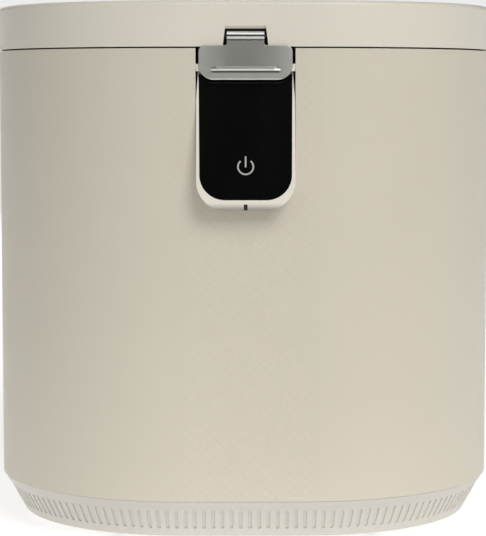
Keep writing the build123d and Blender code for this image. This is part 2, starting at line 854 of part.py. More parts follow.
def bucket():
    """Food bucket with a rolled rim, two ears and a hollow hub over the drive coupling."""
    body = rod(bucket_radius, bucket_z, bucket_top, 0, axis_y)
    body = fillet(body.edges().group_by(Axis.Z)[0], 2 * bucket_wall)
    inner = rod(bucket_radius - bucket_wall, bucket_z + bucket_floor, bucket_top, 0, axis_y)
    body -= fillet(inner.edges().group_by(Axis.Z)[0], bucket_wall)
    body += tube(rim_radius, bucket_radius - bucket_wall, bucket_top - rim_height, bucket_top,
                 0, axis_y)
    body += rod(hub_radius, bucket_z, hub_top, 0, axis_y)
    body -= rod(hub_cavity, bucket_z, hub_top - hub_roof, 0, axis_y)
    body -= rod(bushing_radius, bucket_z, hub_top, 0, axis_y)
    for side in (-1, 1):
        x = side * (bucket_radius - bucket_wall / 2)
        ear = block(x - bucket_wall / 2, x + bucket_wall / 2, axis_y - ear_width / 2,
                    axis_y + ear_width / 2, bucket_top - 2 * ear_width, ear_top)
        body += ear
        body -= rod_x(bail_wire + running, x - 2 * bucket_wall, x + 2 * bucket_wall, axis_y, bail_z)
    return body


def bucket_bushing():
    ring = tube(bushing_radius, shaft_radius + running, hub_top - hub_roof, hub_top, 0, axis_y)
    return ring + tube(bushing_flange, shaft_radius + running, hub_top, hub_top + sheet / 2,
                       0, axis_y)


def bail_handle():
    """Wire handle: a half ring lying over the bucket mouth, its ends turned out into the ears."""
    half = Pos(0, axis_y, bail_z) * Torus(bail_radius, bail_wire)
    half -= block(-2 * bail_radius, 2 * bail_radius, axis_y, axis_y + 2 * bail_radius,
                  bail_z - bail_radius, bail_z + bail_radius)
    reach = bucket_radius + bail_wire / 2
    for x0, x1, bend in ((bail_radius, reach, bail_radius), (-reach, -bail_radius, -bail_radius)):
        half += Pos(bend, axis_y, bail_z) * Sphere(bail_wire + gap)
        half += rod_x(bail_wire, x0, x1, axis_y, bail_z)
    return half


def bail_grip():
    """Sleeve on the middle of the handle."""
    profile = Pos(bail_radius, 0) * (Circle(grip_radius) - Circle(bail_wire))
    sleeve = revolve(Plane.XZ * profile, Axis.Z, grip_angle)
    return Pos(0, axis_y, bail_z) * Rot(0, 0, -90 - grip_angle / 2) * sleeve


def hexagon(across, z0, z1):
    sketch = RegularPolygon(across / 2, 6, major_radius=False)
    return Pos(0, axis_y, z0) * extrude(sketch, z1 - z0)


def agitator_shaft():
    """Shaft through the bucket hub with a hexagonal socket at its foot."""
    socket_top = hub_top - hub_roof - 2 * gap
    shaft = rod(socket_radius, socket_z, socket_top, 0, axis_y)
    shaft += rod(shaft_radius, socket_top, agitator_z + agitator_height / 2, 0, axis_y)
    return shaft - hexagon(hex_across + 2 * gap, socket_z, hex_top + 4 * gap)


def agitator_arm():
    """One leaning blade with teeth, pointing along +X from the axis."""
    z = agitator_z + arm_width / 2
    start = agitator_hub / 2
    blade = Box(arm_reach - start, arm_thick, arm_width)
    blade = fillet(blade.edges().filter_by(Axis.X), arm_thick / 4)
    blade = Pos((arm_reach + start) / 2, 0, z) * Rot(arm_pitch, 0, 0) * blade
    low_teeth = [rod(tooth_radius, tooth_low, z, x) for x in (arm_reach / 2, arm_reach - tooth_radius)]
    tall = Pos(arm_reach - 2 * tooth_radius, 0, z) * extrude(Circle(tooth_radius), tooth_high - z,
                                                             taper=1)
    short = Pos(arm_reach * short_tooth_place, 0, z) * extrude(Circle(tooth_radius),
                                                               (tooth_high - z) / 2, taper=1)
    return blade + low_teeth + tall + short


def agitator():
    """Stirring hub with three toothed arms."""
    hub = rod(agitator_hub, agitator_z, agitator_z + agitator_height)
    hub = fillet(hub.edges().group_by(Axis.Z)[-1], agitator_hub / 2)
    for k in range(arm_count):
        hub += Rot(0, 0, 90 + k * 360 / arm_count) * agitator_arm()
    hub -= rod(shaft_radius, agitator_z, agitator_z + agitator_height / 2)
    return Pos(0, axis_y, 0) * hub


# ---- gears ----

def tooth_half_angle(radius, teeth, module):
    """Half the angle of an involute tooth at a radius."""
    pitch_radius = module * teeth / 2
    base = pitch_radius * cos(radians(pressure_angle))
    lean = acos(min(1.0, base / radius))
    start = radians(pressure_angle)
    half = pi / (2 * teeth) - backlash / (4 * pitch_radius)
    return half + tan(start) - start - tan(lean) + lean


def spur_gear(teeth, module, z0, width, first_tooth):
    """Involute gear; the middle of its first tooth points at an angle from +X, in degrees."""
    pitch_radius = module * teeth / 2
    root, tip = pitch_radius - 1.25 * module, pitch_radius + module
    base = pitch_radius * cos(radians(pressure_angle))
    flank = max(root, base)
    steps = [flank, (flank + pitch_radius) / 2, pitch_radius, (pitch_radius + tip) / 2, tip]
    half = [(r, tooth_half_angle(r, teeth, module)) for r in steps]
    if root < base:
        half = [(root, half[0][1])] + half
    points = []
    for k in range(teeth):
        middle = radians(first_tooth) + 2 * pi * k / teeth
        points += [(r * cos(middle - a), r * sin(middle - a)) for r, a in half]
        points += [(r * cos(middle + a), r * sin(middle + a)) for r, a in reversed(half)]
    return Pos(0, 0, z0) * extrude(make_face(Polyline(*points, close=True)), width)


def output_gear():
    """Large wheel under the chamber, pressed on the output shaft."""
    gear = spur_gear(wheel_teeth, slow_module, slow_z, slow_width, 90)
    gear = Pos(0, axis_y, 0) * gear - rod(shaft_radius, slow_z, slow_z + slow_width, 0, axis_y)
    return gear


def output_shaft():
    """Upright shaft that ends in the hexagonal drive coupling of the bucket."""
    shaft = rod(shaft_radius, tray_z + gap, hex_low, 0, axis_y)
    return shaft + chamfer(hexagon(hex_across, hex_low, hex_top).faces().sort_by(Axis.Z)[-1].edges(),
                           edge_round)


def intermediate_gear():
    """Compound gear: a large wheel driven by the motor and a pinion that drives the output."""
    wheel = spur_gear(wheel_teeth, fast_module, fast_z, fast_width, 90)
    pinion_low = fast_z + fast_width
    turn = -90 + 180 / pinion_teeth
    pinion = spur_gear(pinion_teeth, slow_module, pinion_low, slow_z + slow_width - pinion_low, turn)
    gear = wheel + pinion - rod(axle_radius + running, fast_z, slow_z + slow_width)
    return Pos(0, axle_y, 0) * gear


def motor_pinion():
    """Small gear cut on the end of the motor shaft."""
    turn = -90 + 180 / pinion_teeth
    gear = spur_gear(pinion_teeth, fast_module, fast_z - gap, fast_width + 2 * gap, turn)
    gear += rod(motor_shaft, (motor_z + tray_z) / 2, fast_z)
    return Pos(0, motor_y, 0) * gear


def gear_axle():
    return rod(axle_radius, tray_z + tray_wall / 2, cover_z + cover_thick / 2, 0, axle_y)


def gearbox_outline(inset):
    width = 2 * (tray_half - inset)
    depth = tray_rear - tray_front - 2 * inset
    sketch = RectangleRounded(width, depth, tray_corner - inset)
    return Pos(0, (tray_front + tray_rear) / 2) * sketch


def gearbox_tray():
    """Lower half of the gear housing with corner bosses."""
    corner = Pos(0, 0, tray_z) * extrude(gearbox_outline(0), cover_z - tray_z)
    tray = corner - Pos(0, 0, tray_z + tray_wall) * extrude(gearbox_outline(tray_wall), cover_z)
    for x, y in post_places():
        tray += rod(post_radius, tray_z, cover_z, x, y) & corner
        tray -= rod(screw_radius, tray_z, cover_z, x, y)
    tray -= rod(shaft_radius + bushing_wall, tray_z, tray_z + tray_wall, 0, axis_y)
    tray -= rod(axle_radius, tray_z + tray_wall / 2, tray_z + tray_wall, 0, axle_y)
    tray -= rod(3 * motor_shaft, tray_z, tray_z + tray_wall, 0, motor_y)
    return tray


def gearbox_cover():
    cover = Pos(0, 0, cover_z) * extrude(gearbox_outline(0), cover_thick)
    cover -= rod(shaft_radius + bushing_wall, cover_z, cover_z + cover_thick, 0, axis_y)
    cover -= rod(axle_radius, cover_z, cover_z + cover_thick / 2, 0, axle_y)
    cover -= [rod(screw_radius, cover_z, cover_z + cover_thick, x, y) for x, y in post_places()]
    return cover


def gearbox_screws():
    top = cover_z + cover_thick
    screw = rod(screw_radius, tray_z - 2 * head_radius, top) + rod(head_radius, top, top + head_height)
    return [Pos(x, y, 0) * screw for x, y in post_places()]


def shaft_bushings():
    """Plain bearings of the output shaft in the tray and in the cover."""
    outer, inner = shaft_radius + bushing_wall, shaft_radius + running
    return [tube(outer, inner, tray_z, tray_z + tray_wall, 0, axis_y),
            tube(outer, inner, cover_z, cover_z + cover_thick, 0, axis_y)]


def drive_motor():
    """Can motor under the gearbox with a stepped end bell and a bored nose."""
    can = rod(motor_radius, motor_z, tray_z)
    can = fillet(can.edges().group_by(Axis.Z)[0], 2 * edge_round)
    can += rod(motor_radius * 0.6, motor_z - 2 * sheet, motor_z)
    can += rod(3 * motor_shaft - gap, tray_z, tray_z + tray_wall - gap)
    can -= rod(motor_shaft + running, (motor_z + tray_z) / 2 - gap, tray_z + tray_wall)
    return Pos(0, motor_y, 0) * can


# ---- blower and filter ----

def exhaust_duct():
    """Short pipe from the chamber wall into the blower, with a collar against the housing."""
    start = axis_y + chamber_radius
    end = blower_y + blower_wall
    pipe = rod_y(port_radius, start, end, 0, blower_z)
    pipe += rod_y(port_radius + 3 * duct_wall, blower_y - duct_wall, blower_y, 0, blower_z)
    return pipe - rod_y(port_radius - duct_wall, start, end, 0, blower_z)


def blower_housing():
    """Round fan housing whose outlet runs down into the filter bay."""
    back = blower_y + blower_depth
    inner_front, inner_back = blower_y + blower_wall, back - blower_wall
    housing = rod_y(blower_radius, blower_y, back, 0, blower_z)
    housing += block(outlet_x, blower_radius, blower_y, back, bay_top, blower_z)
    housing -= rod_y(blower_radius - blower_wall, inner_front, inner_back, 0, blower_z)
    housing -= block(outlet_x + blower_wall, blower_radius - blower_wall, inner_front, inner_back,
                     bay_top, blower_z)
    housing -= rod_y(port_radius + gap, blower_y, inner_front, 0, blower_z)
    return housing - rod_y(2 * impeller_shaft, inner_back, back, 0, blower_z)


def blower_motor():
    back = blower_y + blower_depth
    can = rod_y(fan_motor_radius, back, back + fan_motor_length, 0, blower_z)
    return can - rod_y(impeller_shaft + running, back, back + fan_motor_length / 2, 0, blower_z)


def blower_impeller():
    """Bladed wheel on a back plate, with its shaft in the fan motor."""
    front = blower_y + 2 * blower_wall
    back = blower_y + blower_depth - 2 * blower_wall
    wheel = rod_y(impeller_radius, back - blower_wall, back, 0, blower_z)
    wheel += rod_y(impeller_hub, front + blower_wall, back, 0, blower_z)
    end = blower_y + blower_depth + fan_motor_length / 2 - gap
    wheel += rod_y(impeller_shaft, back, end, 0, blower_z)
    start = impeller_hub - blade_thick
    blade = block(start, impeller_radius, front, back, -blade_thick / 2, blade_thick / 2)
    blades = [Pos(0, 0, blower_z) * Rot(0, k * 360 / blade_count, 0) * blade
              for k in range(blade_count)]
    blades = [part - rod_y(port_radius, front, back - 2 * blower_wall, 0, blower_z)
              for part in blades]
    return wheel + blades


def filter_bay():
    """Sleeve behind the rear wall that the filter drawer slides in."""
    bay = block(-bay_half, bay_half, bay_y, inner_rear, bay_z, bay_top)
    half, low, high = bay_half - drawer_wall, bay_z + drawer_wall, bay_top - drawer_wall
    bay -= block(-half, half, bay_y + drawer_wall, inner_rear, low, high)
    return bay - filter_port(high, bay_top)


def filter_port(z0, z1):
    """Air passage from the blower's outlet."""
    x0, x1 = outlet_x + blower_wall, blower_radius - blower_wall
    y0, y1 = bay_y + 3 * drawer_wall, blower_y + blower_depth - blower_wall
    return block(x0, x1, y0, y1, z0, z1)


drawer_half = bay_half - drawer_wall - gap
drawer_low = bay_z + drawer_wall + gap
drawer_high = bay_top - drawer_wall - gap
drawer_front = bay_y + drawer_wall + gap


def filter_drawer():
    """Slide-out box for the carbon cartridge, its rear face flush with the wall."""
    box = block(-drawer_half, drawer_half, drawer_front, rear_y, drawer_low, drawer_high)
    box -= block(-drawer_half + drawer_wall, drawer_half - drawer_wall, drawer_front + drawer_wall,
                 inner_rear, drawer_low + drawer_wall, drawer_high - drawer_wall)
    pocket_top = drawer_high - 2 * drawer_wall
    pocket_low = pocket_top - scoop_height
    box += centred(scoop_width + 2 * drawer_wall, inner_rear - scoop_depth, inner_rear,
                   pocket_low - drawer_wall, drawer_high - drawer_wall)
    box -= centred(scoop_width, inner_rear - scoop_depth + drawer_wall, rear_y, pocket_low, pocket_top)
    first = -(grille_slots - 1) / 2 * grille_pitch
    for k in range(grille_slots):
        x = first + k * grille_pitch
        box -= block(x - grille_width / 2, x + grille_width / 2, inner_rear, rear_y,
                     drawer_low + 3 * drawer_wall, pocket_low - 3 * drawer_wall)
    return box - filter_port(drawer_high - drawer_wall, drawer_high)


def carbon_cartridge():
    """Block of activated carbon with a row of air channels."""
    low, high = drawer_low + drawer_wall, drawer_high - 3 * drawer_wall - scoop_height
    half = drawer_half - drawer_wall
    y0, y1 = drawer_front + drawer_wall, inner_rear - 2 * drawer_wall
    carbon = block(-half, half, y0, y1, low, high - 2 * drawer_wall)
    for k in range(grille_slots):
        x = (k - (grille_slots - 1) / 2) * grille_pitch
        carbon -= block(x - grille_width / 2, x + grille_width / 2, y0 + 2 * drawer_wall, y1,
                        low + 2 * drawer_wall, high)
    return carbon


# ---- inlet and boards ----

def inlet_socket():
    """Appliance inlet: a flange outside the wall and a cupped body inside it."""
    w, h = inlet_width / 2 - gap / 2, inlet_height / 2 - gap / 2
    body = block(inlet_x - w, inlet_x + w, rear_y - inlet_depth, rear_y, inlet_z - h, inlet_z + h)
    lip = inlet_flange
    body += block(inlet_x - w - lip, inlet_x + w + lip, rear_y, rear_y + lip,
                  inlet_z - h - lip, inlet_z + h + lip)
    w, h = w - inlet_wall, h - inlet_wall
    return body - block(inlet_x - w, inlet_x + w, rear_y - inlet_depth + inlet_wall,
                        rear_y + lip, inlet_z - h, inlet_z + h)


def inlet_pins():
    """Three flat prongs, the middle one a little higher, that end in the inlet's floor."""
    start = rear_y - inlet_depth + inlet_wall
    pins = []
    for k in (-1, 0, 1):
        x = inlet_x + k * prong_pitch
        z = inlet_z + (prong_width / 2 if k == 0 else -prong_width / 4)
        pins.append(block(x - prong_thick / 2, x + prong_thick / 2, start, rear_y - prong_width,
                          z - prong_width / 2, z + prong_width / 2))
    return pins


board_z = plate_top + standoff_height


def main_board():
    return block(board_x, board_x + board_width, board_y, board_y + board_depth,
                 board_z, board_z + board_thick)


def board_places():
    edge = 2 * head_radius
    return [(x, y) for x in (board_x + edge, board_x + board_width - edge)
            for y in (board_y + edge, board_y + board_depth - edge)]


def board_standoffs():
    return [rod(head_radius, plate_top, board_z, x, y) for x, y in board_places()]


def board_parts():
    """Transformer, capacitors, relays and a heat sink on the main board."""
    x, y, z = board_x + part_margin_x, board_y + part_margin_y, board_z + board_thick
    parts = [block(x, x + transformer_width, y, y + transformer_depth, z, z + transformer_height)]
    row = y + transformer_depth + row_gap + capacitor_radius
    for k in range(capacitor_count):
        place = x + capacitor_radius + k * capacitor_pitch
        parts.append(rod(capacitor_radius, z, z + capacitor_height, place, row))
    row += capacitor_radius + row_gap
    for k in range(relay_count):
        place = x + k * relay_pitch
        parts.append(block(place, place + relay_width, row, row + relay_depth, z, z + relay_height))
    x += transformer_width + sink_gap
    y += (transformer_depth - sink_depth) / 2
    sink = block(x, x + sink_width, y, y + sink_depth, z, z + sink_base)
    for k in range(fin_count):
        fin = x + k * fin_pitch
        sink += block(fin, fin + fin_thick, y, y + sink_depth, z, z + sink_height)
    return parts + [sink]


# ---- rear hinges ----

def hinge_stations():
    return (-hinge_x, hinge_x)


def knuckle(x0, x1):
    """One hinge barrel segment with its bore."""
    return rod_x(hinge_radius, x0, x1, hinge_y, hinge_z) - rod_x(hinge_pin, x0, x1, hinge_y, hinge_z)


def hinge_leaf_block(x0, x1, z0, z1):
    return block(x0, x1, rear_y, rear_y + hinge_leaf, z0, z1)


def hinge_brackets():
    """Body leaves: a plate on the rear wall and two knuckles each."""
    leaves = []
    half = hinge_knuckle / 2
    top = hinge_z - hinge_radius - gap
    for x in hinge_stations():
        leaf = hinge_leaf_block(x - hinge_half, x + hinge_half, leaf_low, top)
        for x0, x1 in ((x - hinge_half, x - half - hinge_gap), (x + half + hinge_gap, x + hinge_half)):
            leaf += knuckle(x0, x1)
            web = block(x0, x1, rear_y, rear_y + 2 * hinge_leaf, top - hinge_leaf, hinge_z)
            leaf += web - rod_x(hinge_radius - edge_round, x0, x1, hinge_y, hinge_z)
        leaves.append(leaf)
    return leaves


def lid_hinge_arms():
    """Lid leaves: a plate on the lid's rear face and one knuckle each."""
    arms = []
    half = hinge_knuckle / 2
    low = hinge_z + hinge_radius + gap
    for x in hinge_stations():
        arm = hinge_leaf_block(x - hinge_half, x + hinge_half, low, leaf_high)
        arm += knuckle(x - half, x + half)
        web = block(x - half, x + half, rear_y, rear_y + 2 * hinge_leaf, hinge_z, low + hinge_leaf)
        arm += web - rod_x(hinge_radius - edge_round, x - half, x + half, hinge_y, hinge_z)
        arms.append(arm)
    return arms


def hinge_pins():
    return [rod_x(hinge_pin - running, x - hinge_half - gap, x + hinge_half + gap, hinge_y, hinge_z)
            for x in hinge_stations()]


# ---- lid ----

def notch_slope():
    """Slope that opens the top edge of the notch forward."""
    outline = Polyline((front_y - seam, notch_top), (front_y + notch_bevel, notch_top),
                       (front_y, notch_top + notch_bevel), (front_y - seam, notch_top + notch_bevel),
                       close=True)
    return Pos(-notch_width / 2, 0, 0) * extrude(Plane.YZ * make_face(outline), notch_width)


def notch_cutter(grow):
    """Notch for the latch barrel, a little wider at its mouth."""
    half = notch_width / 2 + grow
    outline = Polyline((-half, notch_top + grow), (half, notch_top + grow),
                       (half + notch_flare, lid_z), (-half - notch_flare, lid_z), close=True)
    return through_front(make_face(outline), front_y - wall, front_y + notch_depth + grow)


def lid_screw_places():
    """Six screws around the lid liner."""
    return [(x, y) for x, y, nx, ny in around(6, lid_screw_inset)]


def lid_outer():
    """Cap with the body's outline, softly rounded above, notched in front."""
    lid = slab(0, lid_z, top_z)
    lid = fillet(lid.edges().group_by(Axis.Z)[-1], lid_round)
    lid = fillet(lid.edges().group_by(Axis.Z)[0], seam_round)
    lid -= slab(lid_wall, lid_z, top_z - lid_wall)
    lid += notch_cutter(lid_wall) & slab(lid_wall, lid_z, top_z - lid_wall)
    lid -= notch_cutter(0) + notch_slope()
    boss_low = liner_z + liner_thick
    for x, y in lid_screw_places():
        lid += rod(lid_boss, boss_low, top_z - lid_wall, x, y)
        lid -= rod(screw_radius, boss_low, boss_low + 4 * head_radius, x, y)
    side = notch_width / 2 + lid_wall
    return lid - rod_x(pin_radius, -side, side, pin_y, pin_z)


def latch_pin():
    reach = notch_width / 2 + lid_wall
    return rod_x(pin_radius, -reach, reach, pin_y, pin_z)


def lid_liner():
    """Inner plate of the lid with a raised channel for the gasket."""
    top = liner_z + liner_thick
    plate = slab(lid_wall + gap, liner_z, top)
    plate -= centred(notch_width + 2 * notch_flare + 4 * lid_wall, front_y,
                     front_y + notch_depth + lid_wall + gap, liner_z, top)
    plate += tube(gasket_out + channel_wall, gasket_in - channel_wall, top, top + liner_thick,
                  0, axis_y)
    plate -= tube(gasket_out, gasket_in, liner_z, top + channel_wall / 2, 0, axis_y)
    return plate - [rod(screw_radius, liner_z, top, x, y) for x, y in lid_screw_places()]


def lid_gasket():
    """Sealing ring that presses on the chamber flange."""
    low = deck_top + sheet + gap
    high = liner_z + liner_thick + channel_wall / 2
    ring = tube(gasket_out, gasket_in, low, high, 0, axis_y)
    return fillet(ring.edges().group_by(Axis.Z)[0], edge_round)


def lid_insulation():
    low = liner_z + liner_thick
    return rod(lid_pad_radius, low, low + lid_pad, 0, axis_y)


def lid_screws():
    top = liner_z + liner_thick + 3 * head_radius
    screw = rod(screw_radius, liner_z, top) + rod(head_radius, liner_z - head_height, liner_z)
    return [Pos(x, y, 0) * screw for x, y in lid_screw_places()]


# ---- latch ----

def latch_neck():
    """Neck between the plate and its barrel, with a small slope under the barrel."""
    front, low, high = front_y - latch_proud, latch_top - latch_top_round, pin_z - barrel_radius
    outline = Polyline((front, low), (front, high), (front + neck_step, high + neck_step),
                       (pin_y, high + neck_step), (front + latch_thick, low), close=True)
    return Pos(-barrel_length / 2, 0, 0) * extrude(Plane.YZ * make_face(outline), barrel_length)


def latch_plate():
    """Hanging plate with a rolled barrel above and a stamped bead across its lower half."""
    front, back = front_y - latch_proud, front_y - latch_proud + latch_thick
    middle = (latch_top + latch_low) / 2
    sketch = Rectangle(latch_width, latch_top - latch_low)
    sketch = fillet(sketch.vertices().sort_by(Axis.Y)[:2], latch_low_round)
    sketch = fillet(sketch.vertices().sort_by(Axis.Y)[-2:], latch_top_round)
    neck = Pos(0, latch_top) * Rectangle(barrel_length, 2 * neck_round)
    outline = Pos(0, middle) * sketch + neck
    inner = [v for v in outline.vertices()
             if abs(abs(v.X) - barrel_length / 2) < running and abs(v.Y - latch_top) < running]
    plate = through_front(fillet(inner, neck_round - running), front, back)
    plate = fillet(plate.faces().sort_by(Axis.Y)[0].edges(), latch_edge)
    half = barrel_length / 2
    plate += latch_neck() + rod_x(barrel_radius, -half, half, pin_y, pin_z)
    plate -= centred(barrel_length, front, pin_y - barrel_radius + groove_sunk,
                     pin_z, pin_z + barrel_groove)
    tip = bead_length / 2
    bead = Polyline((-tip, bead_z), (-tip + bead_height, bead_z + bead_height / 2),
                    (tip - bead_height, bead_z + bead_height / 2), (tip, bead_z),
                    (tip - bead_height, bead_z - bead_height / 2),
                    (-tip + bead_height, bead_z - bead_height / 2), close=True)
    slope = degrees(atan2((bead_height - bead_crest) / 2, bead_proud))
    plate += extrude(Plane.XZ.offset(-front) * make_face(bead), bead_proud, taper=slope)
    return plate - rod_x(pin_radius + running, -half, half, pin_y, pin_z)


def latch_keeper():
    """Steel block on the back of the latch plate that the magnet holds."""
    back = front_y - latch_proud + latch_thick
    return centred(keeper_width, back, pin_y + keeper_depth - 2 * gap, keeper_low, keeper_high)


# ---- write every part ----

os.makedirs("parts", exist_ok=True)

save("base_skirt", base_skirt())
save("base_plate", base_plate())
save("rubber_feet", *rubber_feet())
save("base_screws", *base_screws())
save("outer_shell", outer_shell())
save("rear_panel", rear_panel())
save("shell_screws", *shell_screws())
save("top_deck", top_deck())
save("catch_box", catch_box())
save("latch_magnet", latch_magnet())
save("control_bezel", control_bezel())
save("display_glass", display_glass())
save("power_symbol", *power_symbol())
save("control_board", control_board())
save("bezel_plug", bezel_plug())
save("chamber_liner", chamber_liner())
save("insulation_sleeve", insulation_sleeve())
save("heater_plate", heater_plate())
save("heater_element", heater_element())
save("temperature_probe", temperature_probe())
save("bucket", bucket())
save("bucket_bushing", bucket_bushing())
save("bail_handle", bail_handle())
save("bail_grip", bail_grip())
save("agitator_shaft", agitator_shaft())
save("agitator", agitator())
save("output_gear", output_gear())
save("output_shaft", output_shaft())
save("intermediate_gear", intermediate_gear())
save("motor_pinion", motor_pinion())
save("gear_axle", gear_axle())
save("gearbox_tray", gearbox_tray())
save("gearbox_cover", gearbox_cover())
save("gearbox_screws", *gearbox_screws())
save("shaft_bushings", *shaft_bushings())
save("drive_motor", drive_motor())
save("exhaust_duct", exhaust_duct())
save("blower_housing", blower_housing())
save("blower_motor", blower_motor())
save("blower_impeller", blower_impeller())
save("filter_bay", filter_bay())
save("filter_drawer", filter_drawer())
save("carbon_cartridge", carbon_cartridge())
save("inlet_socket", inlet_socket())
save("inlet_pins", *inlet_pins())
save("main_board", main_board())
save("board_parts", *board_parts())
save("board_standoffs", *board_standoffs())
save("hinge_brackets", *hinge_brackets())
save("hinge_pins", *hinge_pins())
save("lid_hinge_arms", *lid_hinge_arms())
save("lid_outer", lid_outer())
save("lid_liner", lid_liner())
save("lid_gasket", lid_gasket())
save("lid_insulation", lid_insulation())
save("lid_screws", *lid_screws())
save("latch_pin", latch_pin())
save("latch_plate", latch_plate())
save("latch_keeper", latch_keeper())
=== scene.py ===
import json
import math

import bmesh
import bpy
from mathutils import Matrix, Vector


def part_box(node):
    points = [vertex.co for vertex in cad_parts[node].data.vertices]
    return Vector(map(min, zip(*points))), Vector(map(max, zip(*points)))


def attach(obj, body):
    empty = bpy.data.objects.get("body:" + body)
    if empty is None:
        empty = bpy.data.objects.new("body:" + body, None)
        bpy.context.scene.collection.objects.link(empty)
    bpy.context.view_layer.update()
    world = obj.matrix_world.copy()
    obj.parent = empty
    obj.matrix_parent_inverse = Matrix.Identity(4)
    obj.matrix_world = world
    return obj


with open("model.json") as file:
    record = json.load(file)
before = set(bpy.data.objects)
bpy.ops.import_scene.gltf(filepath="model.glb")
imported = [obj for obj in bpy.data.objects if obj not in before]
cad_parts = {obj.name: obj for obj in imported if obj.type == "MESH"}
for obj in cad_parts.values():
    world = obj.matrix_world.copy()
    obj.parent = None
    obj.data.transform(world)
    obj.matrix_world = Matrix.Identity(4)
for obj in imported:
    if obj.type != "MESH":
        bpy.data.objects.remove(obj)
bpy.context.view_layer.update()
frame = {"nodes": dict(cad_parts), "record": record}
nodes = frame["nodes"]

# ---------------------------------------------------------------- measures, in metres
MM = 0.001
FRONT_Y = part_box("outer_shell")[0].y        # front of the body wall
BAND_HALF = 40.8 * MM                       # half width of the diamond relief
BAND_SOFT = 0.4 * MM                        # half width over which the relief fades at its sides
BAND_DEEP = (12 * MM, 16 * MM)              # how far behind the front the relief fades out
CELL = 5.4 * MM                             # diagonal of one diamond
AXIS_Y = (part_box("bucket")[0].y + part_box("bucket")[1].y) / 2

LATCH_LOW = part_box("latch_plate")[0].z      # lower edge of the latch plate
BEAD_Z = LATCH_LOW + 5.3 * MM               # middle of the latch plate's bead
BEAD_REACH = 19.0 * MM                      # half length of the bead
PIN_Z = (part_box("latch_pin")[0].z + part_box("latch_pin")[1].z) / 2

LID_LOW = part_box("lid_outer")[0].z          # lower edge of the lid
NOTCH_TOP = LID_LOW + 9.6 * MM              # roof of the notch that the latch barrel sits in
NOTCH_HALF, NOTCH_FLARE = 11.0 * MM, 1.2 * MM   # half width at the roof, and the mouth's extra
NOTCH_DEPTH = 8.0 * MM
SHADE_SHEET_SET, SHADE_SHEET_LIFT = 1.6 * MM, 0.6 * MM  # dark sheet of painted shade in the notch, set behind the lid's front and above its edge
SHADE_SHEET_GAP, SHADE_SHEET_THICK = 0.05 * MM, 0.35 * MM

LEAF_X, LEAF_THICK = 36.0 * MM, 1.8 * MM    # a hinge leaf's middle off the body's, and its metal
LEAF_STEP = 6.8 * MM                        # screws to each side of a leaf's middle
LEAF_ROW, LEAF_PITCH = 4.6 * MM, 10.0 * MM  # first screw row from a leaf's end, and the next row
HEAD_RADIUS, HEAD_HEIGHT = 2.3 * MM, 1.0 * MM
HEAD_SIDES = 40
HEAD_PROFILE = ((1.0, 0.0), (1.0, 0.35), (0.97, 0.6), (0.88, 0.85), (0.74, 1.0))
CROSS_MOUTH, CROSS_FLOOR = (0.55, 0.14), (0.34, 0.11)   # reach and half width, in head radii
CROSS_FLOOR_LIFT = 0.25                     # floor of the recess, in head heights
WELD = 1e-6                                 # points closer than this are one

GRAINS_A_METRE = 620                        # grains of carbon side by side
TRACES_A_METRE = 620                        # traces side by side on the circuit boards

LENS, SENSOR = 135.8, 36                    # of the camera, in millimetres
CAMERA_AHEAD = 1.079                        # before the front of the body
CAMERA_HEIGHT = 0.2463                      # above the floor
CAMERA_TILT, CAMERA_PAN = 0.0874, 0.0003    # down from level, and off the object's middle
CAMERA_AZIMUTH = math.radians(-0.4)         # off the object's front
AIM = Vector((0, 0, 0.15))                  # where the lamps point

# The floor's glow, then the tones of the studio. A direction's y and z say where in the studio.
FLOOR_SIZE = 30
FLOOR_DARK, FLOOR_PALE = (0.66, 0.66, 0.66, 1), (0.70, 0.70, 0.70, 1)
GLOW_FRONT, GLOW_BACK = 0.10, 0.60          # before the object and behind it
GLOW_Y = (-0.60, -0.09)                     # where the one runs over into the other, in metres
GLOW_SEEN = 0.58                            # the least that the camera sees
ROOM_FRONT, ROOM_BACK = 0.96, 0.08          # before the object, and beside and behind it
ROOM_LOW, ROOM_HIGH, ROOM_RISE = 0.55, 1.25, 0.5    # gains level and above, and z of the latter
CARD_RISE = math.radians(31)                # height of the dark card that the glass mirrors
CARD_EDGE, CARD_TONE = (0.90, 0.97), 0.08   # its soft edge as a cosine, and its gain
RIM_TONE = 1.05                             # bright horizon behind the object
RIM_EDGE, RIM_BACK = (0.06, 0.12), (0.5, 0.8)       # z where it fades, and y where it sets in
LAMP_TONE = 1.15                            # strip lamp above the card
LAMP_LOW, LAMP_HIGH = (0.62, 0.74), (0.97, 0.90)    # z of its soft edges
LAMP_FRONT = (-0.15, -0.3)                  # y where it sets in


# ---------------------------------------------------------------- node material builder
def srgb(r, g, b):
    """An 8-bit screen colour as a linear one."""
    def lin(v):
        v /= 255
        return v / 12.92 if v <= 0.04045 else ((v + 0.055) / 1.055) ** 2.4
    return (lin(r), lin(g), lin(b), 1.0)


def tint(color, gain):
    """A colour made lighter or darker."""
    return tuple(min(1.0, c * gain) for c in color[:3]) + (1.0,)


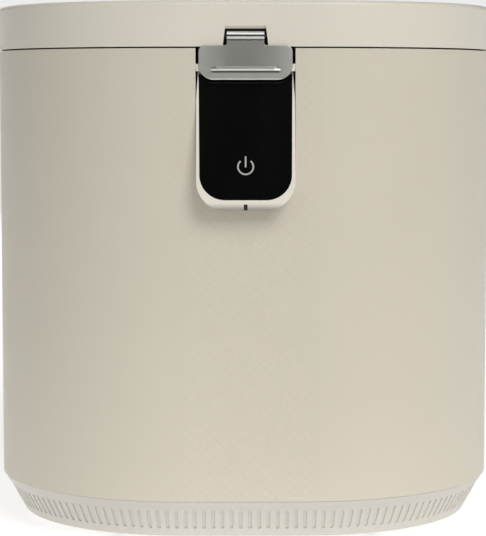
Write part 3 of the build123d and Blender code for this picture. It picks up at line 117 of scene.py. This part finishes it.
class Graph:
    """A node tree with short calls for the nodes that repeat."""

    def __init__(self, owner):
        owner.use_nodes = True
        self.tree = owner.node_tree
        self.tree.nodes.clear()

    def add(self, kind, **props):
        """A new node with its properties set."""
        node = self.tree.nodes.new(kind)
        for key, value in props.items():
            setattr(node, key, value)
        return node

    def link(self, a, b):
        self.tree.links.new(a, b)

    def math(self, op, a, b=None):
        """One operation on numbers or sockets."""
        node = self.add("ShaderNodeMath", operation=op)
        for slot, value in zip(node.inputs, (a, b)):
            if value is None:
                continue
            if isinstance(value, (int, float)):
                slot.default_value = value
            else:
                self.link(value, slot)
        return node.outputs[0]

    def ramp(self, value, low, high, to_low=0.0, to_high=1.0):
        """A value from low to high turned into one from to_low to to_high, and held beyond."""
        node = self.add("ShaderNodeMapRange")
        for slot, v in zip(node.inputs[1:5], (low, high, to_low, to_high)):
            slot.default_value = v
        self.link(value, node.inputs[0])
        return node.outputs[0]

    def split(self, vector):
        """A vector's x, y and z."""
        node = self.add("ShaderNodeSeparateXYZ")
        self.link(vector, node.inputs[0])
        return node.outputs


class Shade(Graph):
    """One Principled material, with its colour, roughness and bump chained from nodes."""

    def __init__(self, name, **flat):
        self.mat = bpy.data.materials.new(name)
        super().__init__(self.mat)
        self.out = self.tree.nodes.new("ShaderNodeOutputMaterial")
        self.bsdf = self.tree.nodes.new("ShaderNodeBsdfPrincipled")
        self.link(self.bsdf.outputs[0], self.out.inputs[0])
        self.place = self.add("ShaderNodeTexCoord").outputs["Object"]
        self.normal = None
        for key, value in flat.items():
            self.bsdf.inputs[key.replace("_", " ")].default_value = value

    def stretched(self, scale):
        """Object coordinates stretched along each axis."""
        node = self.add("ShaderNodeMapping")
        node.inputs["Scale"].default_value = scale
        self.link(self.place, node.inputs["Vector"])
        return node.outputs[0]

    def noise(self, scale, detail=3.0, rough=0.55, stretch=None, seed=0.0):
        """Cloudy noise, with about scale lumps a metre."""
        node = self.add("ShaderNodeTexNoise", noise_dimensions="4D")
        node.inputs["W"].default_value = seed
        node.inputs["Scale"].default_value = scale
        node.inputs["Detail"].default_value = detail
        node.inputs["Roughness"].default_value = rough
        self.link(self.stretched(stretch) if stretch else self.place, node.inputs["Vector"])
        return node.outputs["Fac"]

    def cells(self, scale, output="Distance"):
        """Rounded cells, about scale of them a metre."""
        node = self.add("ShaderNodeTexVoronoi")
        node.inputs["Scale"].default_value = scale
        self.link(self.place, node.inputs["Vector"])
        return node.outputs[output]

    def blend(self, value, a, b):
        """Two colours, or a colour and a socket, mixed by a value."""
        node = self.add("ShaderNodeMix", data_type="RGBA")
        self.link(value, node.inputs["Factor"])
        for slot, v in ((node.inputs[6], a), (node.inputs[7], b)):
            if isinstance(v, tuple):
                slot.default_value = v
            else:
                self.link(v, slot)
        return node.outputs[2]

    def color(self, socket):
        self.link(socket, self.bsdf.inputs["Base Color"])

    def base(self):
        """The socket that colours the surface so far."""
        return self.bsdf.inputs["Base Color"].links[0].from_socket

    def rough(self, socket):
        self.link(socket, self.bsdf.inputs["Roughness"])

    def rough_between(self, low, high, scale, detail=3, seed=0.0):
        """Roughness that wanders between two values."""
        self.rough(self.ramp(self.noise(scale, detail, 0.6, seed=seed), 0.3, 0.7, low, high))

    def bump(self, height, depth, strength=1.0):
        """Adds a relief of a real depth on top of those before it."""
        node = self.add("ShaderNodeBump")
        node.inputs["Strength"].default_value = strength
        node.inputs["Distance"].default_value = depth
        self.link(height, node.inputs["Height"])
        if self.normal:
            self.link(self.normal, node.inputs["Normal"])
        self.normal = node.outputs[0]
        self.link(self.normal, self.bsdf.inputs["Normal"])

    def axes(self):
        """Object coordinates x, y and z."""
        return self.split(self.place)


def edge_wear(s, color, pale, amount):
    """Slightly paler convex edges, where handling polishes a moulding."""
    point = s.add("ShaderNodeNewGeometry").outputs["Pointiness"]
    edge = s.ramp(point, 0.53, 0.62, 0.0, amount)
    broken = s.math("MULTIPLY", edge, s.ramp(s.noise(220, 2, 0.6, seed=4.1), 0.4, 0.62))
    return s.blend(broken, color, pale)


# ---------------------------------------------------------------- moulded plastics
def moulded(name, color, roughness, wave=0.0):
    """Satin moulding: faint cloudiness, fine eroded grain and slow waves of a given depth."""
    s = Shade(name)
    cloud = s.ramp(s.noise(14, 4, 0.5), 0.3, 0.7)
    base = s.blend(cloud, tint(color, 0.985), tint(color, 1.015))
    dust = s.ramp(s.noise(900, 2, 0.7, seed=2.0), 0.62, 0.82, 0.0, 0.25)
    base = s.blend(dust, base, tint(color, 0.93))
    s.color(edge_wear(s, base, tint(color, 1.08), 0.35))
    s.rough_between(roughness - 0.05, roughness + 0.06, 60, seed=1.3)
    s.bump(s.noise(2600, 2, 0.6), 0.02 * MM, 0.55)
    if wave:
        s.bump(s.noise(9, 2, 0.4, seed=3.0), wave, 0.4)
    return s


def bezel_with_painted_underside_shade(name, color):
    """Satin moulding with painted shade: its downward roll is painted darker grey, more so the
    further its faces turn down.
    """
    s = moulded(name, color, 0.38)
    up = s.split(s.add("ShaderNodeNewGeometry").outputs["Normal"])[2]
    # painted shade: faces that turn downward are darkened towards a deep grey
    s.color(s.blend(s.ramp(up, -0.08, -0.75, 0.0, 0.85), s.base(), tint(color, 0.38)))
    return s


def diamond_shell(name, color):
    """Body moulding with a band of fine diamonds down the front, their lines also darkened a
    little with painted shade.
    """
    s = moulded(name, color, 0.44, wave=0.2 * MM)
    x, y, z = s.axes()

    def ridge(value):
        """0 in the middle of a diamond's side, 1 on the line between two rows."""
        turn = s.math("FRACT", s.math("DIVIDE", value, CELL))
        away = s.math("ABSOLUTE", s.math("SUBTRACT", turn, 0.5))
        return s.ramp(away, 0.40, 0.5)

    lines = s.math("MAXIMUM", ridge(s.math("ADD", x, z)), ridge(s.math("SUBTRACT", x, z)))
    side = s.ramp(s.math("ABSOLUTE", x), BAND_HALF - BAND_SOFT, BAND_HALF + BAND_SOFT, 1.0, 0.0)
    front = s.ramp(y, FRONT_Y + BAND_DEEP[0], FRONT_Y + BAND_DEEP[1], 1.0, 0.0)
    relief = s.math("MULTIPLY", lines, s.math("MULTIPLY", side, front))
    s.bump(relief, 0.14 * MM, 0.45)
    # painted shade: the lines of the diamonds are darkened a little in colour
    s.color(s.blend(s.math("MULTIPLY", relief, 0.16), s.base(), tint(color, 0.88)))
    return s


def spark_plastic(name, color, roughness=0.5):
    """Dark technical moulding with a coarse eroded grain."""
    s = Shade(name)
    s.color(s.blend(s.ramp(s.noise(500, 3, 0.6), 0.35, 0.7), tint(color, 0.8), tint(color, 1.35)))
    s.rough_between(roughness - 0.06, roughness + 0.1, 80, seed=1.0)
    s.bump(s.cells(1500), 0.05 * MM, 0.5)
    return s


def rubbery(name, color, dust=0.12):
    """Matte rubber with a talc bloom and a fine skin."""
    s = Shade(name)
    bloom = s.ramp(s.noise(45, 5, 0.65), 0.45, 0.75, 0.0, dust)
    s.color(s.blend(bloom, color, (0.42, 0.41, 0.39, 1)))
    s.rough_between(0.68, 0.85, 120, seed=2.0)
    s.bump(s.noise(1800, 3, 0.6), 0.04 * MM, 0.5)
    return s


# ---------------------------------------------------------------- metals
def latch_metal(name, color, roughness):
    """Bead-blasted steel with painted light: a painted reflection, darker in the middle and
    lighter towards the sides and the bottom; painted highlights on its lower rim, bead crest and
    barrel; and painted shade above and below the bead and in the barrel's groove.
    """
    s = Shade(name, Metallic=1.0)
    x, _, z = s.axes()
    across = s.math("ABSOLUTE", x)
    # painted reflection: the plate is darker in its middle and lighter towards its sides and its
    # lower edge
    side = s.ramp(across, 5 * MM, 25 * MM)
    low = s.ramp(z, LATCH_LOW + 8 * MM, LATCH_LOW + 3 * MM)
    painted_reflection_tone = s.math("MAXIMUM", s.math("POWER", side, 1.3), s.math("MULTIPLY", low, 0.75))
    base = s.blend(painted_reflection_tone, tint(color, 0.56), color)
    grain = s.noise(1900, 3, 0.65)
    base = s.blend(s.ramp(grain, 0.35, 0.7, 0.0, 0.35), base, tint(color, 0.55))

    def line(center, half, soft, reach=None):
        """A level stripe with soft edges, half and soft in millimetres, that ends at its reach."""
        away = s.math("ABSOLUTE", s.math("SUBTRACT", z, center))
        mask = s.ramp(away, (half + soft) * MM, half * MM)
        if reach:
            mask = s.math("MULTIPLY", mask, s.ramp(across, reach, reach - 2 * MM))
        return mask

    # painted shade: dark stripes just under and over the bead and in the barrel's groove
    painted_shade_under_bead = line(BEAD_Z - 0.95 * MM, 0.35, 0.5, BEAD_REACH)
    painted_shade_over_bead = line(BEAD_Z + 1.0 * MM, 0.35, 0.3, BEAD_REACH)
    painted_shade_in_groove = line(PIN_Z + 0.45 * MM, 0.4, 0.3)
    base = s.blend(s.math("MULTIPLY", painted_shade_over_bead, 0.8), base, tint(color, 0.25))
    base = s.blend(s.math("MAXIMUM", painted_shade_under_bead, painted_shade_in_groove), base, tint(color, 0.16))
    # painted highlights: near-white stripes on the plate's lower rim, on the bead's crest and on
    # the barrel's top and foot
    bright = s.ramp(z, LATCH_LOW + 1.0 * MM, LATCH_LOW + 0.4 * MM)
    painted_crest_highlight = line(BEAD_Z, 0.3, 0.25, BEAD_REACH)
    painted_barrel_top_highlight = line(PIN_Z + 1.9 * MM, 0.35, 0.9)
    painted_barrel_foot_highlight = line(PIN_Z - 0.8 * MM, 0.3, 0.6)
    for stripe in (painted_crest_highlight, painted_barrel_top_highlight, painted_barrel_foot_highlight):
        bright = s.math("MAXIMUM", bright, stripe)
    s.color(s.blend(bright, base, (1, 1, 0.98, 1)))
    s.rough_between(roughness - 0.03, roughness + 0.07, 160, 4, seed=5.0)
    s.bump(grain, 0.01 * MM, 0.5)
    return s


def spun(name, color, center_y, pitch=0.9 * MM):
    """Metal turned about an upright axis, with fine rings a pitch apart."""
    s = Shade(name, Metallic=1.0)
    x, y, z = s.axes()
    dy = s.math("SUBTRACT", y, center_y)
    radius = s.math("SQRT", s.math("ADD", s.math("MULTIPLY", x, x), s.math("MULTIPLY", dy, dy)))
    run = s.math("ADD", s.math("DIVIDE", radius, pitch), s.math("DIVIDE", z, pitch))
    jitter = s.math("MULTIPLY", s.noise(30, 3, 0.6), 1.6)
    ring = s.ramp(s.math("SINE", s.math("MULTIPLY", s.math("ADD", run, jitter), math.tau)), -1, 1)
    cloud = s.ramp(s.noise(25, 4, 0.6, seed=2.0), 0.35, 0.7)
    s.color(s.blend(cloud, tint(color, 0.88), tint(color, 1.06)))
    s.rough(s.ramp(cloud, 0, 1, 0.26, 0.4))
    s.bump(ring, 0.012 * MM, 0.6)
    return s


def coated(name, color, fleck):
    """Non-stick coating: dark satin with pale mineral flecks."""
    s = Shade(name, Coat_Weight=0.15, Coat_Roughness=0.3)
    spot = s.ramp(s.cells(520), 0.10, 0.2, 1.0, 0.0)
    keep = s.ramp(s.noise(300, 2, 0.6, seed=6.0), 0.55, 0.6)
    rub = s.ramp(s.noise(35, 5, 0.7, seed=1.0), 0.55, 0.8, 0.0, 0.3)
    base = s.blend(s.math("MULTIPLY", spot, keep), color, fleck)
    s.color(s.blend(rub, base, tint(color, 1.5)))
    s.rough_between(0.32, 0.5, 90)
    s.bump(s.noise(1400, 3, 0.6), 0.03 * MM, 0.5)
    return s


def polished(name, color, roughness=0.12):
    """Bright metal with hairline scratches and faint smears."""
    s = Shade(name, Metallic=1.0)
    hair = s.ramp(s.noise(1.0, 4, 0.7, stretch=(40, 2500, 2500)), 0.6, 0.72)
    smear = s.ramp(s.noise(120, 4, 0.6, seed=2.0), 0.4, 0.7)
    s.color(s.blend(hair, color, tint(color, 0.82)))
    haze = s.ramp(smear, 0, 1, roughness, roughness + 0.1)
    s.rough(s.math("ADD", haze, s.math("MULTIPLY", hair, 0.12)))
    s.bump(hair, 0.006 * MM, 0.5)
    return s


def machined(name, color, grease):
    """Cut steel with a thin film of grease gathered in the low places."""
    s = Shade(name, Metallic=1.0)
    cut = s.noise(1.0, 3, 0.6, stretch=(900, 900, 60))
    film = s.ramp(s.noise(140, 4, 0.65, seed=3.0), 0.48, 0.66, 0.0, 0.7)
    base = s.blend(s.ramp(cut, 0.3, 0.7), tint(color, 0.85), tint(color, 1.1))
    s.color(s.blend(film, base, grease))
    s.rough(s.ramp(film, 0, 0.7, 0.36, 0.16))
    s.bump(cut, 0.01 * MM, 0.6)
    return s


# ---------------------------------------------------------------- glass, print, felt and the rest
def gloss_glass(name):
    """Black touch glass with the faintest smears in its polish."""
    s = Shade(name, Coat_Weight=0.0, Specular_IOR_Level=0.32)
    smear = s.ramp(s.noise(38, 4, 0.6, stretch=(1.0, 1.0, 0.35), seed=2.0), 0.45, 0.75)
    s.color(s.blend(smear, (0.0022, 0.0022, 0.0024, 1), (0.0036, 0.0036, 0.0038, 1)))
    s.rough(s.ramp(smear, 0, 1, 0.055, 0.11))
    s.bump(s.noise(20, 2, 0.4), 0.01 * MM, 0.25)
    return s


def printed(name, color):
    """Screen print: slightly uneven, with a soft tooth."""
    s = Shade(name)
    ink = s.ramp(s.noise(2200, 3, 0.6), 0.35, 0.65)
    s.color(s.blend(ink, tint(color, 0.93), tint(color, 1.05)))
    s.rough_between(0.45, 0.6, 1500, 2, seed=1.0)
    s.bump(s.noise(3000, 2, 0.6), 0.01 * MM, 0.5)
    return s


def felted(name, color):
    """Needled felt: tangled fibres over soft lumps."""
    s = Shade(name, Sheen_Weight=0.3, Sheen_Roughness=0.5)
    fibre = s.noise(1.0, 6, 0.75, stretch=(1300, 900, 1100))
    lump = s.noise(90, 3, 0.6, seed=1.0)
    s.color(s.blend(s.ramp(fibre, 0.3, 0.7), tint(color, 0.72), tint(color, 1.1)))
    s.rough(s.ramp(lump, 0.3, 0.7, 0.85, 0.98))
    s.bump(lump, 0.6 * MM, 0.6)
    s.bump(fibre, 0.3 * MM, 0.8)
    return s


def circuit_board(name, color, copper):
    """Green lacquer over traces that step along a grid, with round solder pads."""
    s = Shade(name, Coat_Weight=0.3, Coat_Roughness=0.15)
    x, y, _ = s.axes()
    patch = s.add("ShaderNodeSeparateColor")
    s.link(s.cells(260, output="Color"), patch.inputs[0])
    run = s.add("ShaderNodeRGBToBW")
    s.link(s.blend(s.math("GREATER_THAN", patch.outputs[0], 0.5), x, y), run.inputs[0])
    turn = s.math("FRACT", s.math("MULTIPLY", run.outputs[0], TRACES_A_METRE))
    trace = s.ramp(s.math("ABSOLUTE", s.math("SUBTRACT", turn, 0.5)), 0.3, 0.36)
    pad = s.ramp(s.cells(240), 0.16, 0.2, 1.0, 0.0)
    base = s.blend(trace, tint(color, 0.75), tint(color, 1.5))
    s.color(s.blend(pad, base, copper))
    s.rough(s.ramp(pad, 0, 1, 0.42, 0.25))
    s.bump(s.math("ADD", s.math("MULTIPLY", trace, 0.4), pad), 0.04 * MM, 0.6)
    return s


def granular(name, color):
    """Pressed grains of activated carbon with small glints."""
    s = Shade(name)
    grain = s.add("ShaderNodeSeparateColor")
    s.link(s.cells(GRAINS_A_METRE, output="Color"), grain.inputs[0])
    s.color(s.blend(grain.outputs[0], tint(color, 0.5), tint(color, 2.2)))
    s.rough(s.ramp(grain.outputs[1], 0, 1, 0.35, 0.9))
    s.bump(s.cells(GRAINS_A_METRE), 1.1 * MM, 0.9)
    return s


def painted(name, color):
    """Baked paint on sheet metal with orange peel and small chips of wear."""
    s = Shade(name, Coat_Weight=0.2, Coat_Roughness=0.25)
    s.color(s.blend(s.ramp(s.noise(30, 4, 0.6), 0.3, 0.7), tint(color, 0.9), tint(color, 1.12)))
    s.rough_between(0.36, 0.5, 200, seed=2.0)
    s.bump(s.noise(420, 3, 0.5), 0.05 * MM, 0.5)
    return s


# ---------------------------------------------------------------- a look for every slot and node
looks = {
    "cream_shell": diamond_shell("cream_shell", srgb(222, 215, 199)),
    "cream_lid": moulded("cream_lid", srgb(233, 228, 214), 0.40, wave=0.2 * MM),
    "cream_skirt": moulded("cream_skirt", srgb(214, 210, 201), 0.46),
    "cream_bezel": bezel_with_painted_underside_shade("cream_bezel", srgb(241, 237, 224)),
    "satin_steel": latch_metal("satin_steel", srgb(208, 208, 202), 0.4),
    "bright_steel": polished("bright_steel", srgb(214, 213, 208)),
    # painted shade: the latch pin's steel is darkened so the gaps beside the barrel read as shade
    "pin_steel": machined("pin_steel", srgb(58, 58, 60), srgb(46, 43, 38)),
    "black_glass": gloss_glass("black_glass"),
    "pale_print": printed("pale_print", srgb(186, 183, 176)),
    "dark_plastic": spark_plastic("dark_plastic", srgb(34, 34, 34)),
    "plug_black": spark_plastic("plug_black", srgb(9, 9, 9), 0.62),
    "black_rubber": rubbery("black_rubber", srgb(28, 28, 28)),
    "grey_rubber": rubbery("grey_rubber", srgb(96, 96, 94), 0.08),
    "liner_alloy": spun("liner_alloy", srgb(200, 200, 197), AXIS_Y),
    "bucket_alloy": coated("bucket_alloy", srgb(72, 72, 72), srgb(150, 150, 148)),
    "zinc_screw": machined("zinc_screw", srgb(190, 190, 188), srgb(168, 168, 162)),
    "gear_steel": machined("gear_steel", srgb(160, 160, 162), srgb(120, 104, 70)),
    "bronze_bush": polished("bronze_bush", srgb(176, 128, 74), 0.26),
    "insulation_felt": felted("insulation_felt", srgb(212, 208, 196)),
    "lid_felt": felted("lid_felt", srgb(218, 216, 210)),
    "green_board": circuit_board("green_board", srgb(26, 92, 48), srgb(206, 196, 170)),
    "board_part": spark_plastic("board_part", srgb(40, 40, 44), 0.42),
    "motor_can": painted("motor_can", srgb(112, 116, 120)),
    "grey_housing": moulded("grey_housing", srgb(172, 171, 166), 0.45),
    "carbon_block": granular("carbon_block", srgb(38, 38, 38)),
    "brass_prong": polished("brass_prong", srgb(206, 180, 112), 0.2),
    "magnet_grey": spark_plastic("magnet_grey", srgb(66, 66, 68), 0.4),
}

slot_of = {s["node"]: s["material_slot"] for s in frame["record"]["subparts"]}
own_look = {"latch_pin": "pin_steel", "bezel_plug": "plug_black"}   # darker than their slots; the pin's dark steel is painted shade in the gaps beside the latch barrel
for name, obj in nodes.items():
    for place in obj.material_slots:
        place.material = looks[own_look.get(name, slot_of[name])].mat


# ---------------------------------------------------------------- small pieces of the scene alone
def piece(name, slot, body, build, look=None):
    """A new piece from mesh code that rides on one body, in its slot's look or another."""
    shape = bmesh.new()
    build(shape)
    bmesh.ops.remove_doubles(shape, verts=shape.verts, dist=WELD)
    bmesh.ops.recalc_face_normals(shape, faces=shape.faces)
    mesh = bpy.data.meshes.new(name)
    shape.to_mesh(mesh)
    shape.free()
    obj = bpy.data.objects.new(name, mesh)
    bpy.context.collection.objects.link(obj)
    mesh.materials.append(looks[look or slot].mat)
    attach(obj, body)


def wall(shape, one, two):
    """Faces between two closed loops of the same number of points."""
    for i in range(len(one)):
        j = (i + 1) % len(one)
        shape.faces.new((one[i], one[j], two[j], two[i]))


def cap(shape, *loops):
    """A flat face inside the first closed loop, with the others as holes."""
    edges = [shape.edges.get((loop[i], loop[(i + 1) % len(loop)]))
             for loop in loops for i in range(len(loop))]
    bmesh.ops.triangle_fill(shape, edges=edges, use_beauty=True)


def thicken(shape, outline, y, depth):
    """A closed outline of (x, z) points turned into a solid between y and y + depth."""
    front, back = [[shape.verts.new((u, at, v)) for u, v in outline] for at in (y, y + depth)]
    wall(shape, front, back)
    cap(shape, front)
    cap(shape, back)


def notch_shade_sheet(shape):
    """Thin dark sheet of painted shade in the lid's notch: over its roof, its two cheeks and its
    back.
    """
    top, low = NOTCH_TOP - SHADE_SHEET_GAP, LID_LOW + SHADE_SHEET_LIFT
    half = NOTCH_HALF - SHADE_SHEET_GAP
    foot = half + NOTCH_FLARE * (NOTCH_TOP - low) / (NOTCH_TOP - LID_LOW)
    back = [(-foot, low), (-half, top), (half, top), (foot, low)]
    inner = [(foot - SHADE_SHEET_THICK, low), (half - SHADE_SHEET_THICK, top - SHADE_SHEET_THICK),
             (-half + SHADE_SHEET_THICK, top - SHADE_SHEET_THICK), (-foot + SHADE_SHEET_THICK, low)]
    thicken(shape, back + inner, FRONT_Y + SHADE_SHEET_SET, NOTCH_DEPTH - SHADE_SHEET_SET)
    thicken(shape, back, FRONT_Y + NOTCH_DEPTH - SHADE_SHEET_GAP - SHADE_SHEET_THICK, SHADE_SHEET_THICK)


def cross(reach, half):
    """Outline of an upright cross from its reach and the half width of its arms."""
    corner = ((reach, -half), (reach, half), (half, half))
    return [(u * c - v * s, u * s + v * c)
            for c, s in ((1, 0), (0, 1), (-1, 0), (0, -1)) for u, v in corner]


def cross_head(shape, center):
    """Pan head with a cross recess, facing the rear."""
    def loop(points, lift):
        """Points given in head radii, at a share of the head's height."""
        spots = [Vector((HEAD_RADIUS * u, HEAD_HEIGHT * lift, HEAD_RADIUS * v)) for u, v in points]
        return [shape.verts.new(center + spot) for spot in spots]

    turns = [math.tau * i / HEAD_SIDES for i in range(HEAD_SIDES)]
    rings = [loop([(r * math.cos(a), r * math.sin(a)) for a in turns], lift)
             for r, lift in HEAD_PROFILE]
    for one, two in zip(rings, rings[1:]):
        wall(shape, one, two)
    mouth, floor = loop(cross(*CROSS_MOUTH), 1.0), loop(cross(*CROSS_FLOOR), CROSS_FLOOR_LIFT)
    wall(shape, mouth, floor)
    shape.faces.new(floor)
    cap(shape, rings[-1], mouth)


def leaf_screws(leaf, rows):
    """Screw heads on both hinge leaves of a node, two side by side in each row."""
    low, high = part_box(leaf)

    def build(shape):
        for side in (-1, 1):
            for step in (-LEAF_STEP, LEAF_STEP):
                for z in rows(low, high):
                    cross_head(shape, Vector((side * LEAF_X + step, low.y + LEAF_THICK, z)))
    return build


# painted shade: a dark sheet in the lid's notch makes it read as deep shade
piece("notch_painted_shade_sheet", "lid_felt", "lid", notch_shade_sheet, look="dark_plastic")
piece("body_leaf_screws", "zinc_screw", "housing", leaf_screws(
    "hinge_brackets", lambda low, high: (low.z + LEAF_ROW, low.z + LEAF_ROW + LEAF_PITCH)))
piece("lid_leaf_screws", "zinc_screw", "lid", leaf_screws(
    "lid_hinge_arms", lambda low, high: (high.z - LEAF_ROW,)))


# ---------------------------------------------------------------- stage, light and camera
def make_floor():
    """Wide pale floor that glows, more so behind the object, where it runs out to white."""
    mesh = bpy.data.meshes.new("floor")
    h = FLOOR_SIZE / 2
    mesh.from_pydata([(-h, -h, 0), (h, -h, 0), (h, h, 0), (-h, h, 0)], [], [(0, 1, 2, 3)])
    floor = bpy.data.objects.new("floor", mesh)
    bpy.context.collection.objects.link(floor)
    s = Shade("floor_paint", Roughness=0.9, Specular_IOR_Level=0.1, Emission_Color=(1, 1, 1, 1))
    s.color(s.blend(s.ramp(s.noise(3, 3), 0.3, 0.7), FLOOR_DARK, FLOOR_PALE))
    glow = s.ramp(s.axes()[1], *GLOW_Y, GLOW_FRONT, GLOW_BACK)
    glow.node.interpolation_type = "SMOOTHSTEP"
    seen = s.add("ShaderNodeLightPath").outputs["Is Camera Ray"]
    glow = s.math("MAXIMUM", glow, s.math("MULTIPLY", seen, GLOW_SEEN))
    s.link(glow, s.bsdf.inputs["Emission Strength"])
    mesh.materials.append(s.mat)


def make_world():
    """Soft grey studio: a dark card that the glass mirrors, a strip lamp above it and a bright
    horizon behind, all before a background that the camera sees as white."""
    world = bpy.data.worlds.new("studio")
    bpy.context.scene.world = world
    g = Graph(world)
    look = g.add("ShaderNodeTexCoord").outputs["Generated"]
    _, y, z = g.split(look)
    room = g.ramp(y, -1.0, 0.0, ROOM_FRONT, ROOM_BACK)
    room = g.math("MULTIPLY", room, g.ramp(z, 0.0, ROOM_RISE, ROOM_LOW, ROOM_HIGH))
    card = g.add("ShaderNodeVectorMath", operation="DOT_PRODUCT")
    g.link(look, card.inputs[0])
    card.inputs[1].default_value = (0, -math.cos(CARD_RISE), math.sin(CARD_RISE))
    room = g.math("MULTIPLY", room, g.ramp(card.outputs["Value"], *CARD_EDGE, 1.0, CARD_TONE))
    rim = g.math("MULTIPLY", g.ramp(g.math("ABSOLUTE", z), *RIM_EDGE, RIM_TONE, 0.0),
                 g.ramp(y, *RIM_BACK))
    lamp = g.math("MULTIPLY", g.ramp(z, *LAMP_LOW), g.ramp(z, *LAMP_HIGH))
    lamp = g.math("MULTIPLY", g.math("MULTIPLY", lamp, g.ramp(y, *LAMP_FRONT)), LAMP_TONE)
    light = g.math("MAXIMUM", g.math("MAXIMUM", room, lamp), rim)
    seen = g.add("ShaderNodeLightPath").outputs["Is Camera Ray"]
    back = g.add("ShaderNodeBackground")
    g.link(g.math("MAXIMUM", light, seen), back.inputs["Strength"])
    g.link(back.outputs[0], g.add("ShaderNodeOutputWorld").inputs[0])


def area_light(name, place, size, power, color):
    """A square soft box aimed at the middle of the object; its power is in watts."""
    data = bpy.data.lights.new(name, "AREA")
    data.shape = "RECTANGLE"
    data.size = data.size_y = size
    data.energy = power
    data.color = color
    obj = bpy.data.objects.new(name, data)
    obj.location = place
    obj.rotation_mode = "QUATERNION"
    obj.rotation_quaternion = (AIM - Vector(place)).to_track_quat("-Z", "Y")
    bpy.context.collection.objects.link(obj)


def make_lights():
    """A key lamp high on the right of the front, and a rear one for views from behind."""
    area_light("key", place=(0.86, -1.84, 1.75), size=1.2, power=24.6, color=(1.0, 0.985, 0.96))
    area_light("rear", place=(-0.5, 2.2, 1.4), size=1.6, power=16.0, color=(1.0, 0.99, 0.97))


def make_camera():
    """The photograph's view: level with the upper body, tilted down five degrees."""
    data = bpy.data.cameras.new("camera")
    data.lens = LENS
    data.sensor_width = SENSOR
    camera = bpy.data.objects.new("camera", data)
    bpy.context.collection.objects.link(camera)
    away = CAMERA_AHEAD - FRONT_Y
    camera.location = (away * math.sin(CAMERA_AZIMUTH), -away * math.cos(CAMERA_AZIMUTH),
                       CAMERA_HEIGHT)
    camera.rotation_euler = (math.pi / 2 - CAMERA_TILT, 0, CAMERA_AZIMUTH + CAMERA_PAN)
    bpy.context.scene.camera = camera


make_floor()
make_world()
make_lights()
make_camera()
bpy.context.scene.view_settings.view_transform = "Standard"
